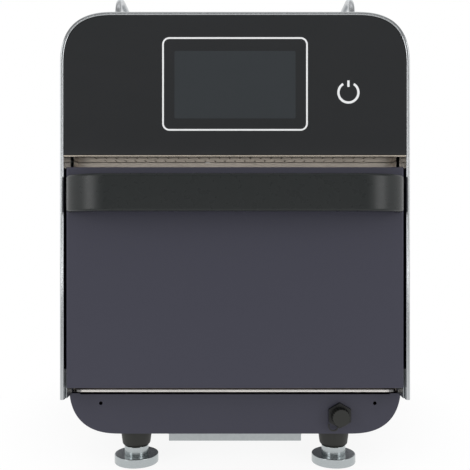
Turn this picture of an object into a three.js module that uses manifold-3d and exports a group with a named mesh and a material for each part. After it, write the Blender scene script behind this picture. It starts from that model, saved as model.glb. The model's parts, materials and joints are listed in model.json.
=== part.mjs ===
// Countertop speed oven: microwave and hot air cooking behind a drop-down door.
// Millimetres, +X to the oven's right, +Y to its back, +Z up, standing on Z = 0.
// Depths are measured back from the front plane of the shell; the last lines centre the oven.

import * as THREE from 'three';
import Module from 'manifold-3d';
import { mergeVertices } from 'three/addons/utils/BufferGeometryUtils.js';

const wasm = await Module();
wasm.setup();

// Outer body
const bodyWidth = 390;
const bodyDepth = 640;
const cornerReach = 61;
const cornerExponent = 2.6;
const cornerSteps = 8;
const shellSheet = 1.2;
const shellRise = 1;
const noseWidth = 4.6;
const noseSteps = 4;
const returnSetback = 11;
const rearFlangeWidth = 14;
const seatGap = 0.3;
const cutOverrun = 2;

// Base pan and its service port
const baseBottom = 41.2;
const baseFrontHeight = 45.8;
const baseSheet = 1.2;
const baseOverhang = 2;
const baseFlangeWidth = 10;
const baseWallRise = 21;
const baseTabRise = 1.2;
const baseTabWidth = 13;
const panelHoleRadius = 2;
const panelHoleDrop = 10.5;
const panelHoleLeftInset = 39.5;
const panelHoleRightInset = 33;
const portInset = 74;
const portRise = 21.8;
const nutAcrossFlats = 25.6;
const nutThickness = 4;
const socketRadius = 8;
const socketNeck = 7;
const socketLength = 22;
const capRadius = 10.5;
const capLength = 8;
const capWall = 1.6;
const capFlutes = 12;
const capFluteDepth = 0.9;
const tetherThickness = 1.4;
const tetherOverhang = 3.1;
const tetherLoop = 5.6;
const tetherAim = -0.6;
const tetherStart = 0.75;
const tetherSweep = -4.3;
const tetherSteps = 8;

// Feet
const footSideInset = 77;
const footInset = 58;
const cupTopRadius = 18.7;
const cupBottomRadius = 16.6;
const cupHeight = 19.7;
const cupEdge = 2.5;
const padRadius = 26;
const padThickness = 10.5;
const padEdge = 0.8;
const neckRadius = 14.2;
const neckFillet = 0.8;
const stemRadius = 6;
const roundSteps = 16;

// Control fascia and its housing
const fasciaHeight = 159.3;
const glassThickness = 4;
const ventPanelGap = 11.7;
const ventLipHeight = 1.8;
const ventLipDepth = 5;
const ventSheet = 1.2;
const ventSlotPitch = 11.7;
const ventSlotWidth = 3.2;
const ventSlotLength = 17;
const ventRowFront = 15;
const ventRowPitch = 30;
const ventFieldMargin = 25.1;
const screenWidth = 134.5;
const screenHeight = 75;
const screenRise = 77.7;
const displayBorder = 6;
const displayThickness = 9;
const carrierSheet = 1.5;
const boardWidth = 168;
const boardHeight = 104;
const boardThickness = 1.6;
const boardStandoff = 9;
const boardPartHeight = 10;

// Door opening: face frame and surround
const gasketSpace = 6;
const faceFrameSheet = 1.4;
const surroundDepth = 19;
const surroundSheet = 0.9;
const surroundInset = 0.7;
const sillLipHeight = 2.9;

// Door
const doorSideGap = 0.4;
const doorSillGap = 13.9;
const doorHeight = 246;
const doorFrontDepth = 1;
const doorPanThickness = 44;
const doorPanelThickness = 10;
const doorSheet = 1.2;
const doorEdgeRadius = 3;
const chokeWidth = 16;
const chokeDepth = 7;
const chokeInset = 8;
const gasketWidth = 9;
const gasketInset = 22;
const hingeSetback = 19;
const hingeRise = 11.1;
const hingePinRadius = 4;
const hingePlate = 1.4;
const hingeLeafPlate = 3;
const hingeLeafInset = 6;
const hingeLeafHeight = 60;
const springCoilRadius = 6.6;
const springWire = 1.6;
const springTurns = 3;
const interlockPinWidth = 6;
const interlockPinReach = 22;
const interlockInset = 12.4;

// Handle
const handleHeight = 40.3;
const handleDrop = 30.2;
const handleProud = 37;
const handleThickness = 9;
const handleInset = 1.8;
const handleSweep = 63;
const handleEdgeRadius = 3.5;
const handleBendSteps = 7;

// Cavity and hot air
const cavityInset = 31.4;
const cavityFloorRise = 33.1;
const cavityCeilingDrop = 34.9;
const cavityBackSpace = 318;
const cavitySheet = 1.2;
const ductHeight = 32;
const ductInset = 37;
const ductSetback = 27.3;
const supplyInset = 53;
const supplySetback = 55.3;
const supplyEndSpace = 122;
const jetPlateHeight = 7;
const jetPitchShare = 0.22;
const jetRadius = 6;
const jetCount = 4;
const plateSheet = 1.2;
const fanHousingDepth = 58;
const fanRise = 3;
const impellerGap = 13;
const impellerWidth = 38;
const impellerBlades = 11;
const bladeThickness = 1.6;
const bladeLength = 22;
const hubRadius = 14;
const shaftRadius = 5;
const inletOverlap = 14;
const baffleInset = 47;
const baffleMargin = 14;
const baffleStandoff = 8;
const baffleSlotPitch = 21;
const baffleSlotWidth = 9;
const baffleSlotLength = 40;
const heaterMargin = 10;
const heaterTube = 3.6;
const heaterSteps = 25;
const heaterLead = 26;
const motorRadius = 42;
const motorLength = 62;
const insulationThickness = 22;
const rackHeight = 20;
const rackRod = 2.5;
const rackBars = 9;
const rackMargin = 12;
const rackLedge = 10;

// Microwave parts
const stirrerX = 0;
const stirrerOffset = 1.7;
const wellRadius = 72;
const wellDepth = 20;
const waveguideHalfWidth = 46;
const waveguideHeight = 26;
const waveguideSheet = 1.5;
const waveguideBackGap = 22;
const ceramicThickness = 5;
const ceramicRadius = 84;
const stirrerRadius = 58;
const stirrerBladeWidth = 18;
const stirrerSheet = 1.5;
const stirrerHub = 8;
const stirrerShaft = 3;
const stirrerMotorRadius = 25;
const stirrerMotorHeight = 18;
const magnetronWidth = 92;
const magnetronDepth = 78;
const magnetronHeight = 84;
const magnetronFins = 4;
const finThickness = 1.6;
const antennaRadius = 9;
const antennaLength = 14;
const magnetronInset = 46;
const transformerGap = 4;
const transformerSideSpace = 123;
const transformerDepth = 72;
const transformerHeight = 78;
const transformerInset = 120;
const coilOverhang = 12;
const capacitorGap = 24;
const capacitorSideSpace = 143;
const capacitorDepth = 34;
const capacitorHeight = 92;
const capacitorInset = 140;
const terminalHeight = 9;
const terminalWidth = 6;

// Supports, electronics and cooling
const cradleInset = 25;
const cradleFlange = 16;
const cradleSheet = 1.5;
const shelfSheet = 1.2;
const shelfFlange = 12;
const powerBoardWidth = 200;
const powerBoardDepth = 150;
const powerBoardPart = 24;
const coolingFanSize = 119;
const coolingFanDepth = 38;
const coolingFanInset = 105;
const coolingFanDrop = 84;
const coolingFanBore = 56;
const coolingHubRadius = 21;
const coolingBlades = 7;
const coolingTipGap = 1.5;
const coolingPitchDegrees = 34;
const fanCornerHole = 2.2;
const rearSheet = 1.2;
const louvrePitch = 24;
const louvreLength = 110;
const louvreHeight = 6;
const louvreCount = 4;
const louvreLift = 4;
const louvreInset = 100;
const grilleHoleRadius = 8;
const glandInset = 65;
const glandRise = 20;
const glandRadius = 11;
const glandNut = 24;
const glandNutThickness = 5;
const glandReach = 22;
const glandBore = 5;

// Air filter tray under the base
const trayFootGap = 28.3;
const trayFlange = 6;
const trayFront = 46;
const trayLength = 210;
const trayGap = 3.4;
const traySheet = 1.2;
const trayWallHeight = 9.5;
const trayLipOverlap = 7;
const runnerSheet = 1.2;
const runnerLip = 5;
const intakeMargin = 11;
const intakeFront = 75;
const intakeLength = 160;
const traySlotPitch = 14;
const traySlotWidth = 5;
const meshThickness = 4;

// Top rails
const railInset = 55;
const railFront = 58;
const railBackInset = 62;
const railHeight = 42;
const railRadius = 4;
const railBend = 25;
const railFootRadius = 9;
const railFootThickness = 3;
const railSides = 8;
const railBendSteps = 5;

// Heights, from the base up
const baseTop = baseBottom + baseFrontHeight;
const baseWallTop = baseTop + baseWallRise;
const sillTop = baseTop;
const shellBottom = baseTop + shellRise;
const panelHoleHeight = baseTop - panelHoleDrop;
const portHeight = baseBottom + portRise;
const glandHeight = baseWallTop + glandRise;
const trayBottom = baseBottom - trayGap - trayWallHeight;
const doorBottom = sillTop + doorSillGap;
const doorTop = doorBottom + doorHeight;
const hingeHeight = doorBottom + hingeRise;
const handleCentreHeight = doorTop - handleDrop;
const cavityFloor = doorBottom + cavityFloorRise;
const cavityCeiling = doorTop - cavityCeilingDrop;
const fanHeight = (cavityFloor + cavityCeiling) / 2 + fanRise;
const baffleHeight = cavityCeiling - cavityFloor - 2 * baffleMargin;
const heaterRadius = (cavityCeiling - cavityFloor) / 2 - heaterMargin;
const impellerRadius = heaterRadius - impellerGap;
const returnInletRadius = impellerRadius - inletOverlap;
const ventPanelBottom = doorTop + ventPanelGap;
const fasciaBottom = ventPanelBottom + ventLipHeight + seatGap;
const screenHeightAt = fasciaBottom + screenRise;
const bodyTop = fasciaBottom + fasciaHeight;
const coolingFanHeight = bodyTop - coolingFanDrop;

// Depths, from the shell's nose back
const doorSkinDepth = doorFrontDepth + doorPanThickness;
const doorBackDepth = doorSkinDepth + doorPanelThickness;
const hingeDepth = doorFrontDepth + hingeSetback;
const faceFrameDepth = doorBackDepth + gasketSpace;
const surroundFront = faceFrameDepth - surroundDepth;
const returnDepth = surroundFront - returnSetback;
const waveguideEnd = bodyDepth - waveguideBackGap;
const magnetronY = waveguideEnd - magnetronInset;
const transformerY = bodyDepth - transformerInset;
const capacitorY = bodyDepth - capacitorInset;
const railLength = bodyDepth - railFront - railBackInset;

// Widths and the places that follow from them
const bodyHalf = bodyWidth / 2;
const innerHalf = bodyHalf - noseWidth;
const baseHalf = innerHalf + baseOverhang;
const panelHalf = innerHalf - seatGap;
const surroundHalfWidth = innerHalf - surroundInset;
const doorHalfWidth = surroundHalfWidth - surroundSheet - doorSideGap;
const interlockX = doorHalfWidth - interlockInset;
const handleHalfWidth = doorHalfWidth - handleInset;
const handleStraightHalf = handleHalfWidth - handleSweep;
const cavityHalfWidth = doorHalfWidth - cavityInset;
const ductHalfWidth = cavityHalfWidth - ductInset;
const supplyHalfWidth = cavityHalfWidth - supplyInset;
const baffleHalfWidth = cavityHalfWidth - baffleInset;
const cradleHalfWidth = cavityHalfWidth - cradleInset;
const ventFieldWidth = 2 * (panelHalf - ventFieldMargin);
const panelHoleLeftX = panelHoleLeftInset - bodyHalf;
const panelHoleRightX = bodyHalf - panelHoleRightInset;
const portX = bodyHalf - portInset;
const footX = bodyHalf - footSideInset;
const trayHalfWidth = footX - cupTopRadius - trayFootGap;
const intakeHalfWidth = trayHalfWidth - intakeMargin;
const railX = bodyHalf - railInset;
const louvreX = bodyHalf - louvreInset;
const glandX = bodyHalf - glandInset;
const coolingFanX = coolingFanInset - bodyHalf;
const transformerWidth = bodyHalf - transformerSideSpace;
const capacitorWidth = bodyHalf - capacitorSideSpace;
const transformerX = -waveguideHalfWidth - transformerGap - coilOverhang - transformerWidth / 2;
const capacitorX = waveguideHalfWidth + capacitorGap + capacitorWidth / 2;
const cavityFront = faceFrameDepth + faceFrameSheet + seatGap;
const cavityDepth = bodyDepth - cavityBackSpace;
const cavityBack = cavityFront + cavityDepth;
const ductFront = cavityFront + ductSetback;
const supplyFront = cavityFront + supplySetback;
const supplyLength = cavityDepth - supplyEndSpace;
const jetPitch = supplyLength * jetPitchShare;
const stirrerDepth = cavityFront + cavityDepth / 2 - stirrerOffset;
const tetherReach = capRadius + tetherOverhang;
const housingFront = cavityBack + cavitySheet + seatGap;
const housingBack = housingFront + fanHousingDepth;
const ductFloor = cavityCeiling + cavitySheet + seatGap;
const ductTop = ductFloor + ductHeight;
const insulationTop = ductTop + shelfSheet + seatGap;
const insulationBottom = cavityFloor - cavitySheet - seatGap - insulationThickness;
const rearPanelFace = bodyDepth - shellSheet - seatGap;
const baseBack = rearPanelFace - rearSheet - seatGap;
const baseFloor = baseBottom + baseSheet;
const wellTop = cavityFloor - cavitySheet - seatGap;
const wellFloor = wellTop - wellDepth;
const guideTop = wellFloor + waveguideSheet;
const guideBottom = guideTop - waveguideHeight;
const heaterOpening = Math.asin(heaterLead / 2 / heaterRadius);
const heaterLeadHeight = fanHeight - heaterRadius * Math.cos(heaterOpening);

// Materials, one per finish
const finish = (color, roughness, metalness) =>
  new THREE.MeshStandardMaterial({ color, roughness, metalness });
const brushedStainless = () => finish('#c4c7c9', 0.35, 1);
const innerStainless = () => finish('#b9b5ae', 0.4, 1);
const darkPaint = () => finish('#46464f', 0.5, 0.1);
const blackGlass = () => finish('#222325', 0.12, 0);
const blackPlastic = () => finish('#26272a', 0.35, 0);
const zincSteel = () => finish('#a9acae', 0.45, 1);
const chrome = () => finish('#d9dcde', 0.12, 1);
const mineralWool = () => finish('#c9b98c', 0.95, 0);
const siliconeSeal = () => finish('#5a5a5c', 0.8, 0);
const boardGreen = () => finish('#2d5a3c', 0.6, 0);
const ceramicWhite = () => finish('#e8e4da', 0.6, 0);
const copperWinding = () => finish('#8a5a38', 0.5, 0.6);
const castAluminium = () => finish('#9fa3a6', 0.5, 1);

// Shape tools: a geometry becomes a closed solid that can be joined and cut.
function solid(geometry) {
  const bare = geometry.clone();
  bare.deleteAttribute('normal');
  bare.deleteAttribute('uv');
  const merged = mergeVertices(bare, 1e-5);
  const position = merged.getAttribute('position');
  const index = merged.getIndex().array;
  const corner = (i) => new THREE.Vector3().fromBufferAttribute(position, i);
  let volume = 0;
  for (let i = 0; i < index.length; i += 3) {
    volume += corner(index[i]).dot(corner(index[i + 1]).cross(corner(index[i + 2])));
  }
  const triVerts = new Uint32Array(index);
  if (volume < 0) triVerts.reverse();
  return new wasm.Manifold(new wasm.Mesh({
    numProp: 3,
    vertProperties: new Float32Array(position.array),
    triVerts,
  }));
}

const join = (first, ...others) => others.reduce((sum, part) => sum.add(part), first);
const cut = (first, ...others) => others.reduce((rest, part) => rest.subtract(part), first);

// A block between two corners, given as [low, high] along each axis.
function block([x0, x1], [y0, y1], [z0, z1]) {
  const geometry = new THREE.BoxGeometry(x1 - x0, y1 - y0, z1 - z0);
  return solid(geometry.translate((x0 + x1) / 2, (y0 + y1) / 2, (z0 + z1) / 2));
}

const outline = (points) => new THREE.Shape(points.map(([u, v]) => new THREE.Vector2(u, v)));

// Prisms: the outline lies square to the axis they are drawn along.
function prismAlong(basis, shape, start, end) {
  const geometry = new THREE.ExtrudeGeometry(shape, {
    depth: end - start,
    bevelEnabled: false,
    curveSegments: 3,
  });
  geometry.translate(0, 0, start);
  return solid(geometry.applyMatrix4(basis));
}
const axisX = new THREE.Vector3(1, 0, 0);
const axisY = new THREE.Vector3(0, 1, 0);
const axisZ = new THREE.Vector3(0, 0, 1);
const alongZ = new THREE.Matrix4();
const alongX = new THREE.Matrix4().makeBasis(axisY, axisZ, axisX);
const alongY = new THREE.Matrix4().makeBasis(axisX, axisZ, axisY);
const prismZ = (shape, start, end) => prismAlong(alongZ, shape, start, end);
const prismX = (shape, start, end) => prismAlong(alongX, shape, start, end);
const prismY = (shape, start, end) => prismAlong(alongY, shape, start, end);

// A turned piece on the Z axis, from [radius, height] points that start and end on the axis.
function turned(points, steps = roundSteps) {
  const profile = points.map(([r, h]) => new THREE.Vector2(r, h));
  return solid(new THREE.LatheGeometry(profile, steps).rotateX(Math.PI / 2));
}
const rod = (radius, length, steps = roundSteps) =>
  turned([[0, 0], [radius, 0], [radius, length], [0, length]], steps);
const toDepth = (part) => part.rotate([-90, 0, 0]);
const toSide = (part) => part.rotate([0, 90, 0]);

// A square-ended slot, long along the outline's second coordinate.
function slotCut(prism, u, v, width, length, start, end) {
  const r = width / 2;
  const reach = length / 2;
  return prism(outline([
    [u + r, v - reach], [u + r, v + reach], [u - r, v + reach], [u - r, v - reach],
  ]), start, end);
}

// The body's section: straight sides and two blended corners, from one open end to the other.
// crown is the closed flat side, above the open ends on the shell and below them on the base.
function archPoints(halfWidth, openZ, crownZ, offset = 0) {
  const up = Math.sign(crownZ - openZ);
  const reach = Math.min(cornerReach, Math.abs(crownZ - openZ));
  const points = [{ x: -halfWidth + offset, z: openZ }];
  const corner = (side, turns) => {
    for (const turn of turns) {
      const angle = (turn / cornerSteps) * Math.PI / 2;
      const u = Math.cos(angle) ** (2 / cornerExponent);
      const v = Math.sin(angle) ** (2 / cornerExponent);
      const normal = new THREE.Vector2(u ** (cornerExponent - 1), v ** (cornerExponent - 1));
      normal.normalize();
      const x = halfWidth - reach + reach * u - offset * normal.x;
      const z = crownZ - up * (reach - reach * v + offset * normal.y);
      points.push({ x: side * x, z });
    }
  };
  const turns = Array.from({ length: cornerSteps + 1 }, (_, i) => i);
  corner(-1, turns);
  corner(1, turns.reverse());
  points.push({ x: halfWidth - offset, z: openZ });
  return points;
}
const archOutline = (...sizes) => outline(archPoints(...sizes).map(({ x, z }) => [x, z]));

// A folded sheet: a closed profile of [inward offset, depth] carried along the arch.
function foldedArch(halfWidth, openZ, crownZ, drawn) {
  const turnsBack = THREE.ShapeUtils.isClockWise(drawn.map(([u, v]) => new THREE.Vector2(u, v)));
  const profile = turnsBack ? drawn.toReversed() : drawn;
  const rings = profile.map(([offset]) => archPoints(halfWidth, openZ, crownZ, offset));
  const count = rings[0].length;
  const positions = [];
  for (let i = 0; i < count; i += 1) {
    profile.forEach(([, depth], j) => positions.push(rings[j][i].x, depth, rings[j][i].z));
  }
  const index = [];
  const across = profile.length;
  for (let i = 0; i < count - 1; i += 1) {
    for (let j = 0; j < across; j += 1) {
      const a = i * across + j;
      const b = i * across + ((j + 1) % across);
      index.push(a, b, a + across, b, b + across, a + across);
    }
  }
  const section = profile.map(([offset, depth]) => new THREE.Vector2(offset, depth));
  const last = (count - 1) * across;
  for (const [a, b, c] of THREE.ShapeUtils.triangulateShape(section, [])) {
    index.push(a, c, b, last + a, last + b, last + c);
  }
  const geometry = new THREE.BufferGeometry();
  geometry.setAttribute('position', new THREE.Float32BufferAttribute(positions, 3));
  geometry.setIndex(index);
  return solid(geometry);
}

// The corners of a round wire's or rod's section.
const ringPoints = (radius, count) => Array.from({ length: count }, (_, i) => {
  const angle = (2 * Math.PI * i) / count;
  return [radius * Math.cos(angle), radius * Math.sin(angle)];
});
const wireRing = (radius, count) => outline(ringPoints(radius, count));

// A bar bent in one plane: a section of [across, square to the plane] points follows the path.
function bentBar(path, section, basis) {
  const count = section.length;
  const positions = path.flatMap((point, i) => {
    const before = path[Math.max(i - 1, 0)];
    const after = path[Math.min(i + 1, path.length - 1)];
    const along = after.clone().sub(before).normalize();
    return section.flatMap(([u, v]) => [point.x + along.y * u, point.y - along.x * u, v]);
  });
  const index = [];
  for (let i = 0; i < path.length - 1; i += 1) {
    for (let j = 0; j < count; j += 1) {
      const a = i * count + j;
      const b = i * count + ((j + 1) % count);
      index.push(a, b, a + count, b, b + count, a + count);
    }
  }
  const last = (path.length - 1) * count;
  for (let j = 1; j < count - 1; j += 1) {
    index.push(0, j + 1, j, last, last + j, last + j + 1);
  }
  const geometry = new THREE.BufferGeometry();
  geometry.setAttribute('position', new THREE.Float32BufferAttribute(positions, 3));
  geometry.setIndex(index);
  return solid(geometry.applyMatrix4(basis));
}

// The oven: every piece is a named mesh in one group.
const oven = new THREE.Group();
function place(name, part, material) {
  const { vertProperties, triVerts, numProp } = part.getMesh();
  const geometry = new THREE.BufferGeometry();
  geometry.setAttribute('position', new THREE.Float32BufferAttribute(vertProperties, numProp));
  geometry.setIndex([...triVerts]);
  geometry.computeVertexNormals();
  const mesh = new THREE.Mesh(geometry, material);
  mesh.name = name;
  oven.add(mesh);
}
const sides = [['left', -1], ['right', 1]];
const mirrored = (part, side) => (side < 0 ? part.mirror([1, 0, 0]) : part);

// Outer shell: one folded sheet with a hemmed round nose, a return flange and a rear flange.
{
  const nose = noseWidth / 2;
  const arc = (radius, from, to) => Array.from({ length: noseSteps + 1 }, (_, i) => {
    const angle = from + ((to - from) * i) / noseSteps;
    return [nose - radius * Math.cos(angle), nose - radius * Math.sin(angle)];
  });
  const profile = [
    ...arc(nose, 0, Math.PI),
    [noseWidth, returnDepth],
    [noseWidth - shellSheet, returnDepth],
    ...arc(nose - shellSheet, Math.PI, 0),
    [shellSheet, bodyDepth - shellSheet],
    [rearFlangeWidth, bodyDepth - shellSheet],
    [rearFlangeWidth, bodyDepth],
    [0, bodyDepth],
  ];
  place('outer_shell', foldedArch(bodyHalf, shellBottom, bodyTop, profile), brushedStainless());
}

// Base pan: an open-topped folded pan with the tray's runners welded under it.
{
  const outside = prismY(archOutline(baseHalf, baseWallTop, baseBottom), returnDepth, baseBack);
  const inside = prismY(
    archOutline(baseHalf, baseWallTop + cutOverrun, baseBottom, baseSheet),
    returnDepth + baseSheet,
    baseBack - baseSheet,
  );
  const wide = [-bodyHalf, bodyHalf];
  const frontBay = [returnDepth - cutOverrun, surroundFront + surroundSheet];
  const tab = baseHalf - baseTabWidth;
  const intake = block(
    [-intakeHalfWidth, intakeHalfWidth],
    [intakeFront, intakeFront + intakeLength],
    [baseBottom - cutOverrun, baseFloor + cutOverrun],
  );
  const hole = (x) => rod(panelHoleRadius, baseSheet + 2 * cutOverrun, 12)
    .rotate([-90, 0, 0]).translate([x, returnDepth - cutOverrun, panelHoleHeight]);
  const port = rod(socketRadius + seatGap, baseSheet + 2 * cutOverrun, 20)
    .rotate([-90, 0, 0]).translate([portX, returnDepth - cutOverrun, portHeight]);
  const stem = (x, y) => rod(stemRadius + 2 * seatGap, 3 * baseSheet, 10)
    .translate([x, y, baseBottom - baseSheet]);
  const rows = [footInset, bodyDepth - footInset];
  const pan = cut(
    outside,
    inside,
    block(wide, frontBay, [baseTop + baseTabRise, baseWallTop + cutOverrun]),
    block([-tab, tab], frontBay, [baseTop, baseWallTop + cutOverrun]),
    intake,
    hole(panelHoleLeftX),
    hole(panelHoleRightX),
    port,
    ...rows.flatMap((y) => sides.map(([, side]) => stem(side * footX, y))),
  );
  const runnerFront = trayFront + 2 * traySheet;
  const runnerSpan = [runnerFront, trayFront + trayLength + trayFlange];
  const flangeTop = trayBottom + trayWallHeight;
  const runnerFloor = flangeTop - traySheet - seatGap - runnerSheet;
  const webInside = trayHalfWidth + trayFlange + seatGap;
  const runner = join(
    block([webInside, webInside + runnerSheet], runnerSpan, [runnerFloor, baseBottom + seatGap]),
    block([webInside - runnerLip, webInside + runnerSheet], runnerSpan,
      [runnerFloor, runnerFloor + runnerSheet]),
  );
  const foldedLip = block(
    [-baseHalf + baseFlangeWidth, baseHalf - baseFlangeWidth],
    [baseBack - baseFlangeWidth, baseBack],
    [baseWallTop - baseSheet, baseWallTop],
  );
  place('base_pan', join(pan, runner, runner.mirror([1, 0, 0]), foldedLip), darkPaint());
}

// Rear panel: louvred sheet with the cooling fan's grille, seated inside the shell's flange.
{
  const start = rearPanelFace - rearSheet;
  const sheetOutline = archOutline(innerHalf, baseTop, bodyTop - noseWidth, seatGap);
  const openings = [];
  const louvres = [];
  const firstLouvre = cavityFloor + louvrePitch;
  for (let i = 0; i < louvreCount; i += 1) {
    const z = firstLouvre + i * louvrePitch;
    for (const [, side] of sides) {
      const x = side * louvreX;
      const span = [x - louvreLength / 2, x + louvreLength / 2];
      openings.push(block(span, [start - cutOverrun, rearPanelFace + cutOverrun],
        [z - louvreHeight, z]));
      louvres.push(prismX(outline([
        [rearPanelFace, z + rearSheet], [rearPanelFace - rearSheet, z + rearSheet],
        [rearPanelFace - rearSheet, z], [rearPanelFace - louvreLift, z - louvreHeight],
        [rearPanelFace - louvreLift + rearSheet, z - louvreHeight],
      ]), ...span));
    }
  }
  const grilleRings = [1, 2];
  const grille = grilleRings.flatMap((ring) => {
    const count = 6 * ring;
    const radius = (ring * coolingFanBore) / (grilleRings.length + 1);
    return Array.from({ length: count }, (_, i) => {
      const angle = (2 * Math.PI * i) / count;
      return rod(grilleHoleRadius, rearSheet + 2 * cutOverrun, 6).rotate([-90, 0, 0]).translate([
        coolingFanX + radius * Math.cos(angle),
        start - cutOverrun,
        coolingFanHeight + radius * Math.sin(angle),
      ]);
    });
  });
  const glandHole = rod(glandRadius + seatGap, rearSheet + 2 * cutOverrun, 20)
    .rotate([-90, 0, 0]).translate([glandX, start - cutOverrun, glandHeight]);
  const panel = cut(prismY(sheetOutline, start, rearPanelFace), ...openings, ...grille, glandHole);
  place('rear_panel', join(panel, ...louvres), brushedStainless());
}

// Cable gland: hexagon, neck through the panel and a domed compression nut.
{
  const hexagon = rod(glandNut / Math.sqrt(3), glandNutThickness, 6);
  const [straightShare, tipShare] = [0.6, 0.75];
  const dome = turned([
    [0, 0], [glandRadius, 0], [glandRadius, glandReach * straightShare],
    [glandRadius * tipShare, glandReach], [0, glandReach],
  ]);
  const neck = rod(glandRadius, 2 * glandNutThickness);
  const bore = rod(glandBore, 2 * glandReach + 4 * glandNutThickness, 10);
  const gland = cut(
    join(
      hexagon,
      dome.translate([0, 0, glandNutThickness / 2]),
      neck.translate([0, 0, -2 * glandNutThickness + cutOverrun / 4]),
    ),
    bore.translate([0, 0, -4 * glandNutThickness]),
  );
  place('cable_gland', toDepth(gland)
    .translate([glandX, rearPanelFace + seatGap, glandHeight]), blackPlastic());
}

// Vent panel: hemmed front lip, slotted underside and the upright bulkhead behind the controls.
{
  const top = ventPanelBottom + ventSheet;
  const lipTop = ventPanelBottom + ventLipHeight;
  const front = seatGap;
  const bulkheadTop = bodyTop - noseWidth - cornerReach;
  const profile = outline([
    [front, ventPanelBottom], [faceFrameDepth + faceFrameSheet, ventPanelBottom],
    [faceFrameDepth + faceFrameSheet, bulkheadTop], [faceFrameDepth, bulkheadTop],
    [faceFrameDepth, top], [front + ventLipDepth, top],
    [front + ventLipDepth, lipTop], [front, lipTop],
  ]);
  const slots = [0, 1].flatMap((row) => {
    const count = Math.floor(ventFieldWidth / ventSlotPitch) - row;
    const y = ventRowFront + row * ventRowPitch;
    const first = (-(count - 1) / 2) * ventSlotPitch;
    return Array.from({ length: count }, (_, i) => slotCut(
      prismZ, first + i * ventSlotPitch, y, ventSlotWidth, ventSlotLength,
      ventPanelBottom - cutOverrun, top + cutOverrun / 4,
    ));
  });
  place('vent_panel', cut(prismX(profile, -panelHalf, panelHalf), ...slots), innerStainless());
}

// Control fascia: one glass sheet that fills the shell's nose above the vent panel.
const glassOutline = (inset) => archOutline(
  bodyHalf, fasciaBottom, bodyTop, noseWidth + seatGap + inset,
);
place('control_fascia', prismY(glassOutline(0), 0, glassThickness), blackGlass());

// Fascia carrier: the plate that backs the glass, with a window for the display.
const carrierFront = glassThickness + seatGap;
const carrierBack = carrierFront + carrierSheet;
const screenBottom = screenHeightAt - screenHeight / 2;
const screenTop = screenHeightAt + screenHeight / 2;
const displayHalf = screenWidth / 2 + displayBorder;
{
  const windowCut = block(
    [-displayHalf - seatGap, displayHalf + seatGap],
    [carrierFront - cutOverrun, carrierBack + cutOverrun],
    [screenBottom - displayBorder - seatGap, screenTop + displayBorder + seatGap],
  );
  const flange = block(
    [-panelHalf + cornerReach, panelHalf - cornerReach],
    [carrierFront, faceFrameDepth - seatGap],
    [fasciaBottom, fasciaBottom + carrierSheet],
  );
  const plate = cut(prismY(glassOutline(0), carrierFront, carrierBack), windowCut);
  place('fascia_carrier', join(plate, flange), zincSteel());
}

// Display module: screen behind the glass, in its thin metal tray.
{
  const tray = block([-displayHalf, displayHalf],
    [carrierFront, carrierFront + displayThickness],
    [screenBottom - displayBorder, screenTop + displayBorder]);
  const recess = block([-screenWidth / 2, screenWidth / 2],
    [carrierFront - cutOverrun, carrierFront + carrierSheet / 2], [screenBottom, screenTop]);
  place('display_module', cut(tray, recess), blackPlastic());
}

// Control board: its parts and the four spacers that stand it off the display.
{
  const back = carrierFront + displayThickness + seatGap;
  const boardFront = back + boardStandoff;
  const bottom = screenHeightAt - boardHeight / 2;
  const top = screenHeightAt + boardHeight / 2;
  const board = block([-boardWidth / 2, boardWidth / 2],
    [boardFront, boardFront + boardThickness], [bottom, top]);
  const spacer = boardStandoff / 3;
  const spacers = sides.flatMap(([, side]) => [screenBottom, screenTop].map((z) => (
    block([side * displayHalf - spacer, side * displayHalf + spacer].map((x) => (
      x - side * 2 * spacer)), [back, boardFront], [z - spacer, z + spacer]))));
  const partShares = [[-0.4, -0.3, 0.2, 0.3], [-0.1, -0.35, 0.14, 0.22], [0.2, -0.1, 0.18, 0.4]];
  const parts = partShares.map(([u, v, width, height]) => block(
    [u * boardWidth, (u + width) * boardWidth],
    [boardFront + boardThickness, boardFront + boardThickness + boardPartHeight],
    [screenHeightAt + v * boardHeight, screenHeightAt + (v + height) * boardHeight],
  ));
  place('control_board', join(board, ...spacers, ...parts), boardGreen());
}

// Face frame: the plate round the cavity mouth, with slots for the interlock pins.
const interlockHeight = doorTop - gasketInset - gasketWidth;
{
  const plate = block([-surroundHalfWidth, surroundHalfWidth],
    [faceFrameDepth, faceFrameDepth + faceFrameSheet],
    [sillTop - surroundSheet, ventPanelBottom - seatGap]);
  const span = [faceFrameDepth - cutOverrun, faceFrameDepth + faceFrameSheet + cutOverrun];
  const mouth = block([-cavityHalfWidth, cavityHalfWidth], span, [cavityFloor, cavityCeiling]);
  const slot = (side) => block(
    [side * interlockX - interlockPinWidth, side * interlockX + interlockPinWidth],
    span,
    [interlockHeight - interlockPinWidth, interlockHeight + 2 * interlockPinWidth],
  );
  place('face_frame', cut(plate, mouth, slot(-1), slot(1)), innerStainless());
}

// Door surround: sill with its front lip, and side cheeks in front of the face frame.
{
  const span = [surroundFront, faceFrameDepth - seatGap];
  const inside = surroundHalfWidth - surroundSheet;
  const top = ventPanelBottom - seatGap;
  const outer = block([-surroundHalfWidth, surroundHalfWidth], span,
    [sillTop - surroundSheet, top]);
  const opening = block([-inside, inside],
    [surroundFront - cutOverrun, faceFrameDepth], [sillTop, top + cutOverrun]);
  const lip = block([-inside, inside], [surroundFront, surroundFront + surroundSheet],
    [sillTop, sillTop + sillLipHeight]);
  place('door_surround', join(cut(outer, opening), lip), innerStainless());
}

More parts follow.
